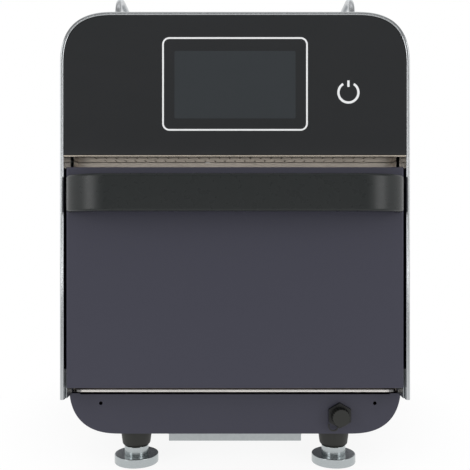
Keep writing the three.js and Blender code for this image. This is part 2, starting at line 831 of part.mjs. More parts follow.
// Door skin: a pressed pan with rounded upright edges, open to the cavity side.
const doorHoleRadius = hingePinRadius + 2 * seatGap;
{
  const pan = (inset, back) => {
    const r = doorEdgeRadius - inset;
    const half = doorHalfWidth - inset;
    const front = doorFrontDepth + inset;
    const shape = new THREE.Shape();
    shape.moveTo(-half, back);
    shape.lineTo(-half, front + r);
    shape.absarc(-half + r, front + r, r, Math.PI, 1.5 * Math.PI, false);
    shape.lineTo(half - r, front);
    shape.absarc(half - r, front + r, r, 1.5 * Math.PI, 2 * Math.PI, false);
    shape.lineTo(half, back);
    return prismZ(shape, doorBottom + inset, doorTop - inset);
  };
  const pinHole = toSide(rod(doorHoleRadius, 2 * bodyWidth, 12))
    .translate([-bodyWidth, hingeDepth, hingeHeight]);
  const skin = cut(
    pan(0, doorSkinDepth), pan(doorSheet, doorSkinDepth + cutOverrun), pinHole,
  );
  place('door_skin', skin, darkPaint());
}

// Door inner panel: pressed plate with the choke channel round it and the interlock pins.
{
  const front = doorSkinDepth + seatGap;
  const plate = block([-doorHalfWidth, doorHalfWidth], [front, doorBackDepth],
    [doorBottom, doorTop]);
  const frameAt = (d) => [[-doorHalfWidth + d, doorHalfWidth - d], [doorBottom + d, doorTop - d]];
  const ring = (inset, width) => {
    const [x, z] = frameAt(inset);
    const [innerX, innerZ] = frameAt(inset + width);
    const deep = [doorBackDepth - chokeDepth, doorBackDepth + cutOverrun];
    return cut(block(x, deep, z), block(innerX, deep, innerZ));
  };
  const pins = sides.map(([, side]) => block(
    [side * interlockX - interlockPinWidth / 2, side * interlockX + interlockPinWidth / 2],
    [doorBackDepth - chokeDepth - doorSheet, doorBackDepth + interlockPinReach],
    [interlockHeight - interlockPinWidth / 2, interlockHeight + interlockPinWidth / 2],
  ));
  const [pocketX, pocketZ] = frameAt(chokeInset + chokeWidth + doorSheet);
  const pocket = block(pocketX, [front - cutOverrun, doorBackDepth - doorSheet], pocketZ);
  place('door_inner_panel', join(cut(plate, pocket, ring(chokeInset, chokeWidth)), ...pins),
    innerStainless());
}

// Door insulation: a slab that leaves the lower corners free for the hinge leaves.
const leafOuter = doorHalfWidth - hingeLeafInset;
const leafInner = leafOuter - hingeLeafPlate;
const springPitchShare = 1.5;
const springLength = springTurns * springWire * springPitchShare;
{
  const inset = doorEdgeRadius;
  const slab = block([-doorHalfWidth + inset, doorHalfWidth - inset],
    [doorFrontDepth + inset, doorSkinDepth], [doorBottom + inset, doorTop - inset]);
  const free = leafInner - springLength - 4 * springWire;
  const corners = sides.map(([, side]) => mirrored(block([free, doorHalfWidth],
    [0, bodyDepth], [0, doorBottom + hingeLeafHeight + 2 * springCoilRadius]), side));
  place('door_insulation', cut(slab, ...corners), mineralWool());
}

// Door gasket: a square ring between the inner panel and the face frame.
{
  const inset = gasketInset + chokeInset;
  const span = [doorBackDepth + seatGap / 3, faceFrameDepth - seatGap];
  const frame = (d, y) => block([-doorHalfWidth + d, doorHalfWidth - d], y,
    [doorBottom + d, doorTop - d]);
  place('door_gasket', cut(
    frame(inset - gasketWidth / 2, span),
    frame(inset + gasketWidth / 2, [0, bodyDepth]),
  ), siliconeSeal());
}

// Hinge: brackets on the shell's return flange carry the pins; leaves inside the door turn on them.
const leafRadius = hingeHeight - doorBottom - doorSheet - 2 * seatGap;
{
  const bracketSpan = [innerHalf - seatGap - hingePlate, innerHalf - seatGap];
  const bracket = block(bracketSpan, [returnDepth / 4, returnDepth - seatGap],
    [shellBottom, hingeHeight + leafRadius]);
  const pinLength = bracketSpan[1] - leafInner + springLength + 2 * springWire;
  const pin = toSide(rod(hingePinRadius, pinLength, 20))
    .translate([bracketSpan[1] - pinLength, hingeDepth, hingeHeight]);
  const carried = join(bracket, pin);
  const eye = toSide(rod(leafRadius, hingeLeafPlate, 20))
    .translate([leafInner, hingeDepth, hingeHeight]);
  const arm = block([leafInner, leafOuter],
    [hingeDepth - leafRadius / 2, doorSkinDepth], [hingeHeight, doorBottom + hingeLeafHeight]);
  const bore = toSide(rod(hingePinRadius + seatGap, 2 * hingeLeafPlate, 20))
    .translate([leafInner - hingeLeafPlate / 2, hingeDepth, hingeHeight]);
  const foot = block([leafInner - leafRadius, leafOuter],
    [doorSkinDepth - hingeLeafPlate, doorSkinDepth],
    [hingeHeight + leafRadius, doorBottom + hingeLeafHeight]);
  const leaf = cut(join(eye, arm, foot), bore);
  for (const [name, side] of sides) {
    place(`hinge_bracket_${name}`, mirrored(carried, side), zincSteel());
    place(`hinge_leaf_${name}`, mirrored(leaf, side), zincSteel());
  }
}

// Door springs: torsion coils round the pins, with one leg up the leaf and one along the pin.
class CoilCurve extends THREE.Curve {
  getPoint(t) {
    const turnsEnd = springTurns / (springTurns + 1);
    const turn = Math.min(t / turnsEnd, 1);
    const angle = turn * springTurns * 2 * Math.PI;
    const rise = Math.max(t - turnsEnd, 0) / (1 - turnsEnd);
    return new THREE.Vector3(
      turn * springLength,
      springCoilRadius * Math.cos(angle),
      springCoilRadius * Math.sin(angle) + rise * hingeLeafHeight / 2,
    );
  }
}
{
  const wire = solid(new THREE.ExtrudeGeometry(wireRing(springWire / 2, 4), {
    steps: springTurns * 7 + 3,
    extrudePath: new CoilCurve(),
    bevelEnabled: false,
  })).translate([leafInner - springLength - springWire, hingeDepth, hingeHeight]);
  for (const [name, side] of sides) {
    place(`door_spring_${name}`, mirrored(wire, side), zincSteel());
  }
}

// Interlock switches: one block behind each slot, joined by their mounting strip.
{
  const front = cavityFront + interlockPinReach / 2;
  const switchBody = (side) => cut(
    block([side * interlockX - 2 * interlockPinWidth, side * interlockX + 2 * interlockPinWidth],
      [cavityFront, front + interlockPinReach],
      [interlockHeight - 2 * interlockPinWidth, interlockHeight + 3 * interlockPinWidth]),
    block([side * interlockX - interlockPinWidth, side * interlockX + interlockPinWidth],
      [cavityFront - cutOverrun, front + interlockPinReach / 2],
      [interlockHeight - interlockPinWidth, interlockHeight + 2 * interlockPinWidth]),
  );
  const strip = block([-interlockX, interlockX], [cavityFront, cavityFront + plateSheet],
    [interlockHeight + 2 * interlockPinWidth, interlockHeight + 3 * interlockPinWidth]);
  place('interlock_switches', join(switchBody(-1), switchBody(1), strip), blackPlastic());
}

// Handle: a flat band with rounded edges, straight in the middle and swept back at both ends.
{
  const pathPoints = [];
  const back = -doorFrontDepth + handleThickness / 2 + seatGap;
  const proud = handleProud - handleThickness / 2;
  const sweep = handleHalfWidth - handleThickness / 2 - handleStraightHalf;
  for (let i = 0; i <= handleBendSteps; i += 1) {
    const angle = (i / handleBendSteps) * (Math.PI / 2);
    pathPoints.push([
      handleStraightHalf + sweep * Math.sin(angle),
      back - proud * Math.cos(angle) - handleThickness / 2,
    ]);
  }
  pathPoints.push([handleStraightHalf + sweep, doorFrontDepth - seatGap / 3]);
  const half = pathPoints.toReversed().map(([x, y]) => new THREE.Vector2(-x, y));
  const path = [...half, ...pathPoints.map(([x, y]) => new THREE.Vector2(x, y))];
  const tall = handleHeight / 2;
  const thick = handleThickness / 2;
  const r = handleEdgeRadius;
  const section = [0, 1, 2, 3].flatMap((quarter) => [0, 1, 2].map((step) => {
    const angle = (quarter + step / 2) * (Math.PI / 2);
    const u = quarter === 0 || quarter === 3 ? thick - r : r - thick;
    const v = quarter < 2 ? tall - r : r - tall;
    return [u + r * Math.cos(angle), v + r * Math.sin(angle)];
  }));
  place('handle', bentBar(path, section, alongZ).translate([0, 0, handleCentreHeight]),
    blackPlastic());
}

// Cavity box: welded liner, open at the front, with the jet supply and the return inlet.
const rackLevel = cavityFloor + rackHeight;
const stirrerWell = [stirrerX, stirrerDepth];
{
  const outer = block([-cavityHalfWidth - cavitySheet, cavityHalfWidth + cavitySheet],
    [cavityFront, cavityBack + cavitySheet],
    [cavityFloor - cavitySheet, cavityCeiling + cavitySheet]);
  const inner = block([-cavityHalfWidth, cavityHalfWidth],
    [cavityFront - cutOverrun, cavityBack], [cavityFloor, cavityCeiling]);
  const supply = block([-supplyHalfWidth, supplyHalfWidth],
    [supplyFront, supplyFront + supplyLength],
    [cavityCeiling - cutOverrun, cavityCeiling + 2 * cutOverrun]);
  const inlet = toDepth(rod(returnInletRadius, 3 * cutOverrun))
    .translate([0, cavityBack - cutOverrun, fanHeight]);
  const port = rod(wellRadius - waveguideSheet, 3 * cutOverrun)
    .translate([...stirrerWell, cavityFloor - 2 * cutOverrun]);
  const ledge = (side) => mirrored(block([cavityHalfWidth - rackLedge, cavityHalfWidth + seatGap],
    [cavityFront + rackMargin, cavityBack - rackMargin],
    [rackLevel - rackRod - plateSheet, rackLevel - rackRod]), side);
  place('cavity_box', join(cut(outer, inner, supply, inlet, port), ledge(-1), ledge(1)),
    innerStainless());
}

// Cavity insulation: an open-fronted jacket with ways through for the duct, fan and waveguide.
{
  const side = surroundHalfWidth - surroundSheet;
  const cavitySide = cavityHalfWidth + cavitySheet + seatGap;
  const jacket = block([-side, side], [cavityFront, housingBack],
    [insulationBottom, insulationTop]);
  const switchWay = block([-bodyHalf, bodyHalf],
    [0, cavityFront + 2 * interlockPinReach],
    [interlockHeight - 3 * interlockPinWidth, interlockHeight + 4 * interlockPinWidth]);
  const hollow = block([-cavitySide, cavitySide],
    [0, cavityBack + cavitySheet + seatGap],
    [cavityFloor - cavitySheet - seatGap, ductFloor]);
  const ductWay = block([-ductHalfWidth - seatGap, ductHalfWidth + seatGap],
    [ductFront - seatGap, bodyDepth], [fanHeight, ductTop + seatGap]);
  const fanWay = block([-ductHalfWidth - seatGap, ductHalfWidth + seatGap],
    [housingFront - seatGap, bodyDepth], [insulationBottom - cutOverrun, ductTop]);
  const wellWay = rod(wellRadius + seatGap, insulationThickness + 2 * cutOverrun)
    .translate([...stirrerWell, insulationBottom - cutOverrun]);
  const guideWay = block([-waveguideHalfWidth - seatGap, waveguideHalfWidth + seatGap],
    [stirrerDepth - waveguideHalfWidth - seatGap, bodyDepth],
    [insulationBottom - cutOverrun, wellFloor + waveguideSheet + seatGap]);
  const ways = [hollow, switchWay, ductWay, fanWay, wellWay, guideWay];
  place('cavity_insulation', cut(jacket, ...ways), mineralWool());
}

// Jet plate: the removable ceiling tray whose nozzles blow hot air down.
{
  const top = cavityCeiling - seatGap;
  const half = supplyHalfWidth + rackMargin;
  const span = [supplyFront - rackMargin, supplyFront + supplyLength + rackMargin];
  const tray = cut(
    block([-half, half], span, [top - jetPlateHeight, top]),
    block([-half + plateSheet, half - plateSheet],
      [span[0] + plateSheet, span[1] - plateSheet], [top - jetPlateHeight + plateSheet, bodyTop]),
  );
  const middle = supplyFront + supplyLength / 2;
  const jets = [];
  for (let row = 0; row < jetCount; row += 1) {
    for (let column = 0; column < jetCount; column += 1) {
      jets.push(rod(jetRadius, 2 * jetPlateHeight, 6).translate([
        (column - (jetCount - 1) / 2) * jetPitch,
        middle + (row - (jetCount - 1) / 2) * jetPitch,
        top - 2 * jetPlateHeight,
      ]));
    }
  }
  place('jet_plate', cut(tray, ...jets), innerStainless());
}

// Hot air duct: carries air from the fan housing over the cavity to the jet plate.
{
  const outer = block([-ductHalfWidth, ductHalfWidth], [ductFront, housingBack],
    [ductFloor, ductTop]);
  const inner = block([-ductHalfWidth + plateSheet, ductHalfWidth - plateSheet],
    [ductFront + plateSheet, housingBack - plateSheet],
    [ductFloor - cutOverrun, ductTop - plateSheet]);
  place('hot_air_duct', cut(outer, inner), zincSteel());
}

// Fan housing: open to the duct above and to the return inlet in front.
{
  const floor = cavityFloor + 2 * plateSheet;
  const outer = block([-ductHalfWidth, ductHalfWidth], [housingFront, housingBack],
    [floor, ductFloor - seatGap]);
  const inner = block([-ductHalfWidth + plateSheet, ductHalfWidth - plateSheet],
    [housingFront - cutOverrun, housingBack - plateSheet],
    [floor + plateSheet, ductFloor + cutOverrun]);
  const through = (x, z, radius) => toDepth(rod(radius, plateSheet + 2 * cutOverrun, 16))
    .translate([x, housingBack - plateSheet - cutOverrun, z]);
  place('fan_housing', cut(outer, inner, through(0, fanHeight, shaftRadius + 2 * seatGap),
    through(-heaterLead / 2, heaterLeadHeight, heaterTube + seatGap),
    through(heaterLead / 2, heaterLeadHeight, heaterTube + seatGap)), zincSteel());
}

// Fan baffle: slotted cover that stands off the cavity's back wall in front of the inlet.
{
  const back = cavityBack - seatGap;
  const front = back - baffleStandoff;
  const half = baffleHalfWidth;
  const z = [fanHeight - baffleHeight / 2, fanHeight + baffleHeight / 2];
  const outer = block([-half, half], [front, back], z);
  const inner = block([-half + plateSheet, half - plateSheet], [front + plateSheet, bodyDepth],
    [z[0] + plateSheet, z[1] - plateSheet]);
  const count = Math.floor((2 * half - 2 * baffleSlotPitch) / baffleSlotPitch);
  const slots = Array.from({ length: count }, (_, i) => [1, -1].map((row) => slotCut(
    prismY, (i - (count - 1) / 2) * baffleSlotPitch,
    fanHeight + (row * (baffleSlotLength + baffleSlotPitch)) / 2,
    baffleSlotWidth, baffleSlotLength, front - cutOverrun, front + baffleStandoff / 2,
  ))).flat();
  place('fan_baffle', cut(outer, inner, ...slots), innerStainless());
}

// Convection fan: back disc, forward ring and curved-in blades on a hub with its shaft.
{
  const bladeLeanDegrees = 35;
  const front = housingFront + 3 * plateSheet;
  const disc = rod(impellerRadius, plateSheet).translate([0, 0, impellerWidth]);
  const ring = cut(rod(impellerRadius, plateSheet),
    rod(impellerRadius - bladeLength, 3 * plateSheet).translate([0, 0, -plateSheet]));
  const blades = Array.from({ length: impellerBlades }, (_, i) => block(
    [-bladeLength / 2, bladeLength / 2], [-bladeThickness / 2, bladeThickness / 2],
    [plateSheet / 2, impellerWidth + plateSheet / 2],
  ).rotate([0, 0, bladeLeanDegrees]).translate([impellerRadius - bladeLength / 2 - bladeThickness, 0, 0])
    .rotate([0, 0, (360 * i) / impellerBlades]));
  const hub = rod(hubRadius, impellerWidth / 2).translate([0, 0, impellerWidth / 2]);
  const shaft = rod(shaftRadius, fanHousingDepth, 16).translate([0, 0, impellerWidth / 2]);
  place('convection_fan', toDepth(join(disc, ring, hub, shaft, ...blades))
    .translate([0, front, fanHeight]), innerStainless());
}

// Heater coil: one sheathed tube bent in a ring round the fan, with both leads out at the back.
{
  class HeaterCurve extends THREE.Curve {
    getPoint(t) {
      const leadShare = 0.12;
      const middle = housingFront + fanHousingDepth / 2;
      const reach = housingBack + heaterLead / 2 - middle;
      if (t < leadShare) {
        return new THREE.Vector3(-heaterLead / 2, middle + reach * (1 - t / leadShare),
          heaterLeadHeight);
      }
      if (t > 1 - leadShare) {
        return new THREE.Vector3(heaterLead / 2, middle + reach * (1 - (1 - t) / leadShare),
          heaterLeadHeight);
      }
      const turn = (t - leadShare) / (1 - 2 * leadShare);
      const angle = heaterOpening + turn * (2 * Math.PI - 2 * heaterOpening);
      return new THREE.Vector3(-heaterRadius * Math.sin(angle), middle,
        fanHeight - heaterRadius * Math.cos(angle));
    }
  }
  place('heater_coil', solid(new THREE.ExtrudeGeometry(wireRing(heaterTube, 6), {
    steps: heaterSteps, extrudePath: new HeaterCurve(), bevelEnabled: false,
  })), castAluminium());
}

// Fan motor: can and end bell, bored for the shaft.
{
  const front = housingBack + seatGap;
  const [canShare, bellShare, bellRadiusShare] = [0.7, 0.8, 0.6];
  const canEnd = motorLength * canShare;
  const bellRadius = motorRadius * bellRadiusShare;
  const can = turned([
    [0, 0], [motorRadius, 0], [motorRadius, canEnd],
    [bellRadius, motorLength * bellShare], [bellRadius, motorLength], [0, motorLength],
  ]);
  const bore = rod(shaftRadius + seatGap, canEnd, 16).translate([0, 0, -cutOverrun]);
  place('fan_motor', toDepth(cut(can, bore)).translate([0, front, fanHeight]), castAluminium());
}

// Wire rack: a rod frame with cross bars, resting on the ledges.
{
  const half = cavityHalfWidth - seatGap * 2;
  const y = [cavityFront + 2 * rackMargin, cavityBack - 2 * rackMargin - baffleStandoff];
  const level = [rackLevel - rackRod + seatGap, rackLevel + rackRod + seatGap];
  const frame = cut(
    block([-half, half], y, level),
    block([-half + 2 * rackRod, half - 2 * rackRod],
      [y[0] + 2 * rackRod, y[1] - 2 * rackRod], [0, bodyTop]),
  );
  const barShare = 0.8;
  const pitch = (2 * half) / (rackBars + 1);
  const rods = Array.from({ length: rackBars }, (_, i) => toDepth(
    rod(rackRod * barShare, y[1] - y[0] - 2 * rackRod, 6),
  ).translate([-half + (i + 1) * pitch, y[0] + rackRod, rackLevel + seatGap]));
  place('wire_rack', join(frame, ...rods), chrome());
}

// Ceramic floor: the sealed disc over the stirrer well.
place('ceramic_floor', rod(ceramicRadius, ceramicThickness)
  .translate([...stirrerWell, cavityFloor + seatGap]), ceramicWhite());

// Waveguide: round stirrer well under the cavity and a rectangular duct to the magnetron.
{
  const well = cut(
    rod(wellRadius, wellDepth).translate([...stirrerWell, wellFloor]),
    rod(wellRadius - waveguideSheet, wellDepth)
      .translate([...stirrerWell, wellFloor + waveguideSheet]),
  );
  const half = waveguideHalfWidth;
  const start = stirrerDepth - half;
  const duct = cut(
    block([-half, half], [start, waveguideEnd], [guideBottom, guideTop]),
    block([-half + waveguideSheet, half - waveguideSheet],
      [start + waveguideSheet, waveguideEnd - waveguideSheet],
      [guideBottom + waveguideSheet, guideTop - waveguideSheet]),
  );
  const port = block([-half / 2, half / 2],
    [start + 2 * waveguideSheet, stirrerDepth - 2 * stirrerHub],
    [wellFloor - waveguideSheet, wellFloor + 2 * waveguideSheet]);
  const antennaPort = rod(antennaRadius + seatGap, 3 * waveguideSheet, 20)
    .translate([0, magnetronY, guideTop - 2 * waveguideSheet]);
  const shaftPort = rod(stirrerShaft + 2 * seatGap, 2 * waveguideHeight, 12)
    .translate([...stirrerWell, guideBottom - cutOverrun]);
  place('waveguide', cut(join(well, duct), port, antennaPort, shaftPort), zincSteel());
}

// Mode stirrer: a four-bladed rotor in the well, on a long shaft down to its motor.
{
  const level = wellFloor + wellDepth / 2;
  const blade = (turn) => block([0, stirrerRadius],
    [-stirrerBladeWidth / 2, stirrerBladeWidth / 2], [level, level + stirrerSheet])
    .rotate([0, 0, turn]);
  const hub = rod(stirrerHub, wellDepth / 3, 16).translate([0, 0, level - wellDepth / 6]);
  const shaftBottom = guideBottom - stirrerMotorHeight / 2;
  const shaft = rod(stirrerShaft, level - shaftBottom, 12).translate([0, 0, shaftBottom]);
  const blades = [0, 90, 180, 270].map((turn) => blade(turn));
  place('mode_stirrer', join(hub, shaft, ...blades).translate([...stirrerWell, 0]),
    castAluminium());
}

// Stirrer motor: a flat geared motor under the waveguide.
{
  const top = guideBottom - seatGap;
  const [earShare, boreShare] = [1.5, 0.7];
  const can = join(
    rod(stirrerMotorRadius, stirrerMotorHeight).translate([0, 0, top - stirrerMotorHeight]),
    block([-earShare * stirrerMotorRadius, earShare * stirrerMotorRadius],
      [-stirrerHub, stirrerHub], [top - plateSheet, top]),
  );
  const bore = rod(stirrerShaft + seatGap, stirrerMotorHeight, 12)
    .translate([0, 0, top - stirrerMotorHeight * boreShare]);
  place('stirrer_motor', cut(can, bore).translate([...stirrerWell, 0]), castAluminium());
}

// Magnetron: yoke round a stack of cooling fins, magnet cans and the antenna dome.
{
  const floor = guideTop + seatGap;
  const halfW = magnetronWidth / 2;
  const halfD = magnetronDepth / 2;
  const sheet = waveguideSheet;
  const coreShare = 0.55;
  const y = [magnetronY - halfD, magnetronY + halfD];
  const yoke = cut(
    block([-halfW, halfW], y, [floor, floor + magnetronHeight]),
    block([-halfW + sheet, halfW - sheet], [0, bodyDepth],
      [floor + sheet, floor + magnetronHeight - sheet]),
  );
  const pitch = magnetronHeight / 2 / magnetronFins;
  const fins = Array.from({ length: magnetronFins }, (_, i) => block(
    [-halfW + sheet / 2, halfW - sheet / 2], y,
    [floor + magnetronHeight / 4 + i * pitch, floor + magnetronHeight / 4 + i * pitch
      + finThickness],
  ));
  const core = rod(halfD * coreShare, magnetronHeight - sheet, 8).translate([0, magnetronY, floor]);
  const antenna = rod(antennaRadius, antennaLength + sheet, 20)
    .translate([0, magnetronY, floor - antennaLength]);
  place('magnetron', join(yoke, ...fins, core, antenna), castAluminium());
}

// Transformer: laminated core on its feet, with the winding standing proud at both sides.
{
  const x = [transformerX - transformerWidth / 2, transformerX + transformerWidth / 2];
  const y = [transformerY - transformerDepth / 2, transformerY + transformerDepth / 2];
  const floor = baseFloor + seatGap;
  const core = block(x, y, [floor, floor + transformerHeight]);
  const feet = block([x[0] + coilOverhang, x[1] - coilOverhang],
    [y[0] - coilOverhang, y[1] + coilOverhang], [floor, floor + 2 * plateSheet]);
  const winding = block([x[0] - coilOverhang, x[1] + coilOverhang],
    [y[0] + coilOverhang, y[1] - coilOverhang],
    [floor + coilOverhang, floor + transformerHeight - coilOverhang]);
  place('hv_transformer', join(core, feet, winding), copperWinding());
}

// Capacitor: an oval can with its two terminals.
{
  const floor = baseFloor + seatGap;
  const r = capacitorDepth / 2;
  const can = join(
    block([-capacitorWidth / 2 + r, capacitorWidth / 2 - r], [-r, r], [0, capacitorHeight]),
    rod(r, capacitorHeight, 16).translate([-capacitorWidth / 2 + r, 0, 0]),
    rod(r, capacitorHeight, 16).translate([capacitorWidth / 2 - r, 0, 0]),
  );
  const terminals = sides.map(([, side]) => block(
    [side * r - terminalWidth / 2, side * r + terminalWidth / 2], [-plateSheet, plateSheet],
    [capacitorHeight - plateSheet, capacitorHeight + terminalHeight],
  ));
  place('hv_capacitor', join(can, ...terminals).translate([capacitorX, capacitorY, floor]),
    castAluminium());
}

// Cavity cradle: two webs tied by cross strips, standing on the base and carrying the oven box.
{
  const floor = baseFloor + seatGap;
  const top = insulationBottom - seatGap;
  const y = [cavityFront, cavityBack];
  const half = cradleHalfWidth;
  const web = block([half - cradleSheet, half], y, [floor, top]);
  const ledge = block([half - cradleFlange, half], y, [top - cradleSheet, top]);
  const strip = (start) => block([-half, half],
    [start, start + 2 * cradleFlange], [floor, floor + cradleSheet]);
  const lightening = toSide(rod(cradleFlange, 2 * bodyWidth, 8));
  const middle = (floor + top) / 2;
  const holeShares = [0.3, 0.7];
  const holes = holeShares.map((share) => lightening
    .translate([-bodyWidth, y[0] + share * cavityDepth, middle]));
  const stripEnd = y[1] - 2 * cradleFlange;
  const side = join(web, ledge);
  place('cavity_cradle', cut(
    join(side, side.mirror([1, 0, 0]), strip(footInset + 2 * stemRadius), strip(stripEnd)),
    ...holes,
  ), zincSteel());
}

// Component shelf: folded tray over the insulation that carries the power board.
const shelfBottom = insulationTop + seatGap;
const shelfTop = shelfBottom + shelfSheet;
const shelfBack = rearPanelFace - rearSheet - coolingFanDepth - 2 * seatGap;
{
  const y = [cavityFront + seatGap, shelfBack];
  const half = panelHalf;
  const tray = cut(
    block([-half, half], y, [shelfBottom, shelfTop + shelfFlange]),
    block([-half + shelfSheet, half - shelfSheet], [0, bodyDepth],
      [shelfTop, bodyTop]),
  );
  place('component_shelf', tray, zincSteel());
}

// Power board: circuit board on spacers, with its heatsink, coils and relays.
{
  const boardFloor = shelfTop + shelfFlange / 2;
  const middle = (cavityFront + shelfBack) / 2;
  const board = block([-powerBoardWidth / 2, powerBoardWidth / 2],
    [middle - powerBoardDepth / 2, middle + powerBoardDepth / 2],
    [boardFloor, boardFloor + boardThickness]);
  const inset = shelfFlange;
  const spacers = sides.flatMap(([, sx]) => sides.map(([, sy]) => block(
    [-inset / 4, inset / 4], [-inset / 4, inset / 4], [shelfTop + seatGap, boardFloor],
  ).translate([sx * (powerBoardWidth / 2 - inset), middle + sy * (powerBoardDepth / 2 - inset),
    0])));
  const partShares = [[-0.42, -0.4, 0.3, 0.3, 1], [-0.05, -0.42, 0.2, 0.28, 0.6],
    [0.2, -0.35, 0.22, 0.6, 0.8], [-0.4, 0.05, 0.12, 0.3, 0.9], [-0.2, 0.05, 0.3, 0.3, 0.5]];
  const parts = partShares.map(([u, v, width, depth, rise]) => block(
    [u * powerBoardWidth, (u + width) * powerBoardWidth],
    [middle + v * powerBoardDepth, middle + (v + depth) * powerBoardDepth],
    [boardFloor + boardThickness, boardFloor + boardThickness + rise * powerBoardPart],
  ));
  place('power_board', join(board, ...spacers, ...parts), boardGreen());
}

// Cooling fan: square frame with its hub on three arms, and a seven-bladed rotor.
{
  const back = rearPanelFace - rearSheet - seatGap;
  const half = coolingFanSize / 2;
  const armWidth = coolingHubRadius / 3;
  const at = [coolingFanX, back - coolingFanDepth, coolingFanHeight];
  const bore = rod(coolingFanBore, 3 * coolingFanDepth).translate([0, 0, -coolingFanDepth]);
  const corner = half - coolingFanSize / 14;
  const hole = (x, y) => rod(fanCornerHole, 3 * coolingFanDepth, 6)
    .translate([x, y, -coolingFanDepth]);
  const ring = cut(
    block([-half, half], [-half, half], [0, coolingFanDepth]),
    bore, hole(corner, corner), hole(-corner, corner), hole(corner, -corner),
    hole(-corner, -corner),
  );
  const arms = [90, 210, 330].map((turn) => block(
    [coolingHubRadius / 2, coolingFanBore + armWidth / 2], [-armWidth / 2, armWidth / 2],
    [0, armWidth / 2],
  ).rotate([0, 0, turn]));
  const hubPlate = rod(coolingHubRadius, armWidth / 2);
  const post = rod(stirrerShaft, coolingFanDepth / 2, 12);
  const frame = join(ring, ...arms, hubPlate, post);
  place('cooling_fan_frame', toDepth(frame).translate(at), blackPlastic());

  const clear = armWidth / 2 + coolingTipGap;
  const rotorDepth = coolingFanDepth - clear - coolingTipGap;
  const cup = rod(coolingHubRadius, rotorDepth).translate([0, 0, clear]);
  const socket = rod(stirrerShaft + seatGap, coolingFanDepth / 2 + seatGap, 12);
  const span = coolingFanBore - coolingTipGap - coolingHubRadius / 2;
  const chordShare = 1.6;
  const chord = 2 * coolingHubRadius * Math.sin(Math.PI / coolingBlades) * chordShare;
  const blades = Array.from({ length: coolingBlades }, (_, i) => block(
    [0, span], [-chord / 2, chord / 2], [-bladeThickness / 2, bladeThickness / 2],
  ).rotate([coolingPitchDegrees, 0, 0])
    .translate([coolingHubRadius / 2, 0, clear + rotorDepth / 2])
    .rotate([0, 0, (360 * i) / coolingBlades]));
  const reach = rod(coolingFanBore - coolingTipGap, rotorDepth).translate([0, 0, clear]);
  const rotor = cut(join(cup, ...blades).intersect(reach), socket);
  place('cooling_fan_rotor', toDepth(rotor).translate(at), blackPlastic());
}

// Filter tray: slotted pan hung in the runners by its side flanges, with a front lip.
{
  const flangeTop = trayBottom + trayWallHeight;
  const y = [trayFront, trayFront + trayLength];
  const pan = cut(
    block([-trayHalfWidth, trayHalfWidth], y, [trayBottom, flangeTop]),
    block([-trayHalfWidth + traySheet, trayHalfWidth - traySheet],
      [y[0] + traySheet, y[1] - traySheet], [trayBottom + traySheet, bodyTop]),
  );
  const flange = block([trayHalfWidth - traySheet, trayHalfWidth + trayFlange],
    [trayFront + traySheet, y[1]], [flangeTop - traySheet, flangeTop]);
  const lip = join(
    block([-trayHalfWidth - trayLipOverlap, trayHalfWidth + trayLipOverlap],
      [trayFront, trayFront + traySheet], [trayBottom, flangeTop + traySheet]),
    block([-trayHalfWidth, trayHalfWidth], [trayFront, trayFront + traySheet],
      [flangeTop, baseBottom - seatGap]),
  );
  const count = Math.floor((trayLength - 2 * traySlotPitch) / traySlotPitch);
  const slots = Array.from({ length: count }, (_, i) => block(
    [-trayHalfWidth + traySlotPitch, trayHalfWidth - traySlotPitch],
    [-traySlotWidth / 2, traySlotWidth / 2], [trayBottom - cutOverrun, trayBottom + 2 * traySheet],
  ).translate([0, (y[0] + y[1]) / 2 + (i - (count - 1) / 2) * traySlotPitch, 0]));
  place('filter_tray', cut(join(pan, flange, flange.mirror([1, 0, 0]), lip), ...slots),
    innerStainless());
  place('filter_mesh', block(
    [-trayHalfWidth + traySheet + seatGap, trayHalfWidth - traySheet - seatGap],
    [y[0] + traySheet + seatGap, y[1] - traySheet - seatGap],
    [trayBottom + traySheet + seatGap, trayBottom + traySheet + seatGap + meshThickness],
  ), zincSteel());
}

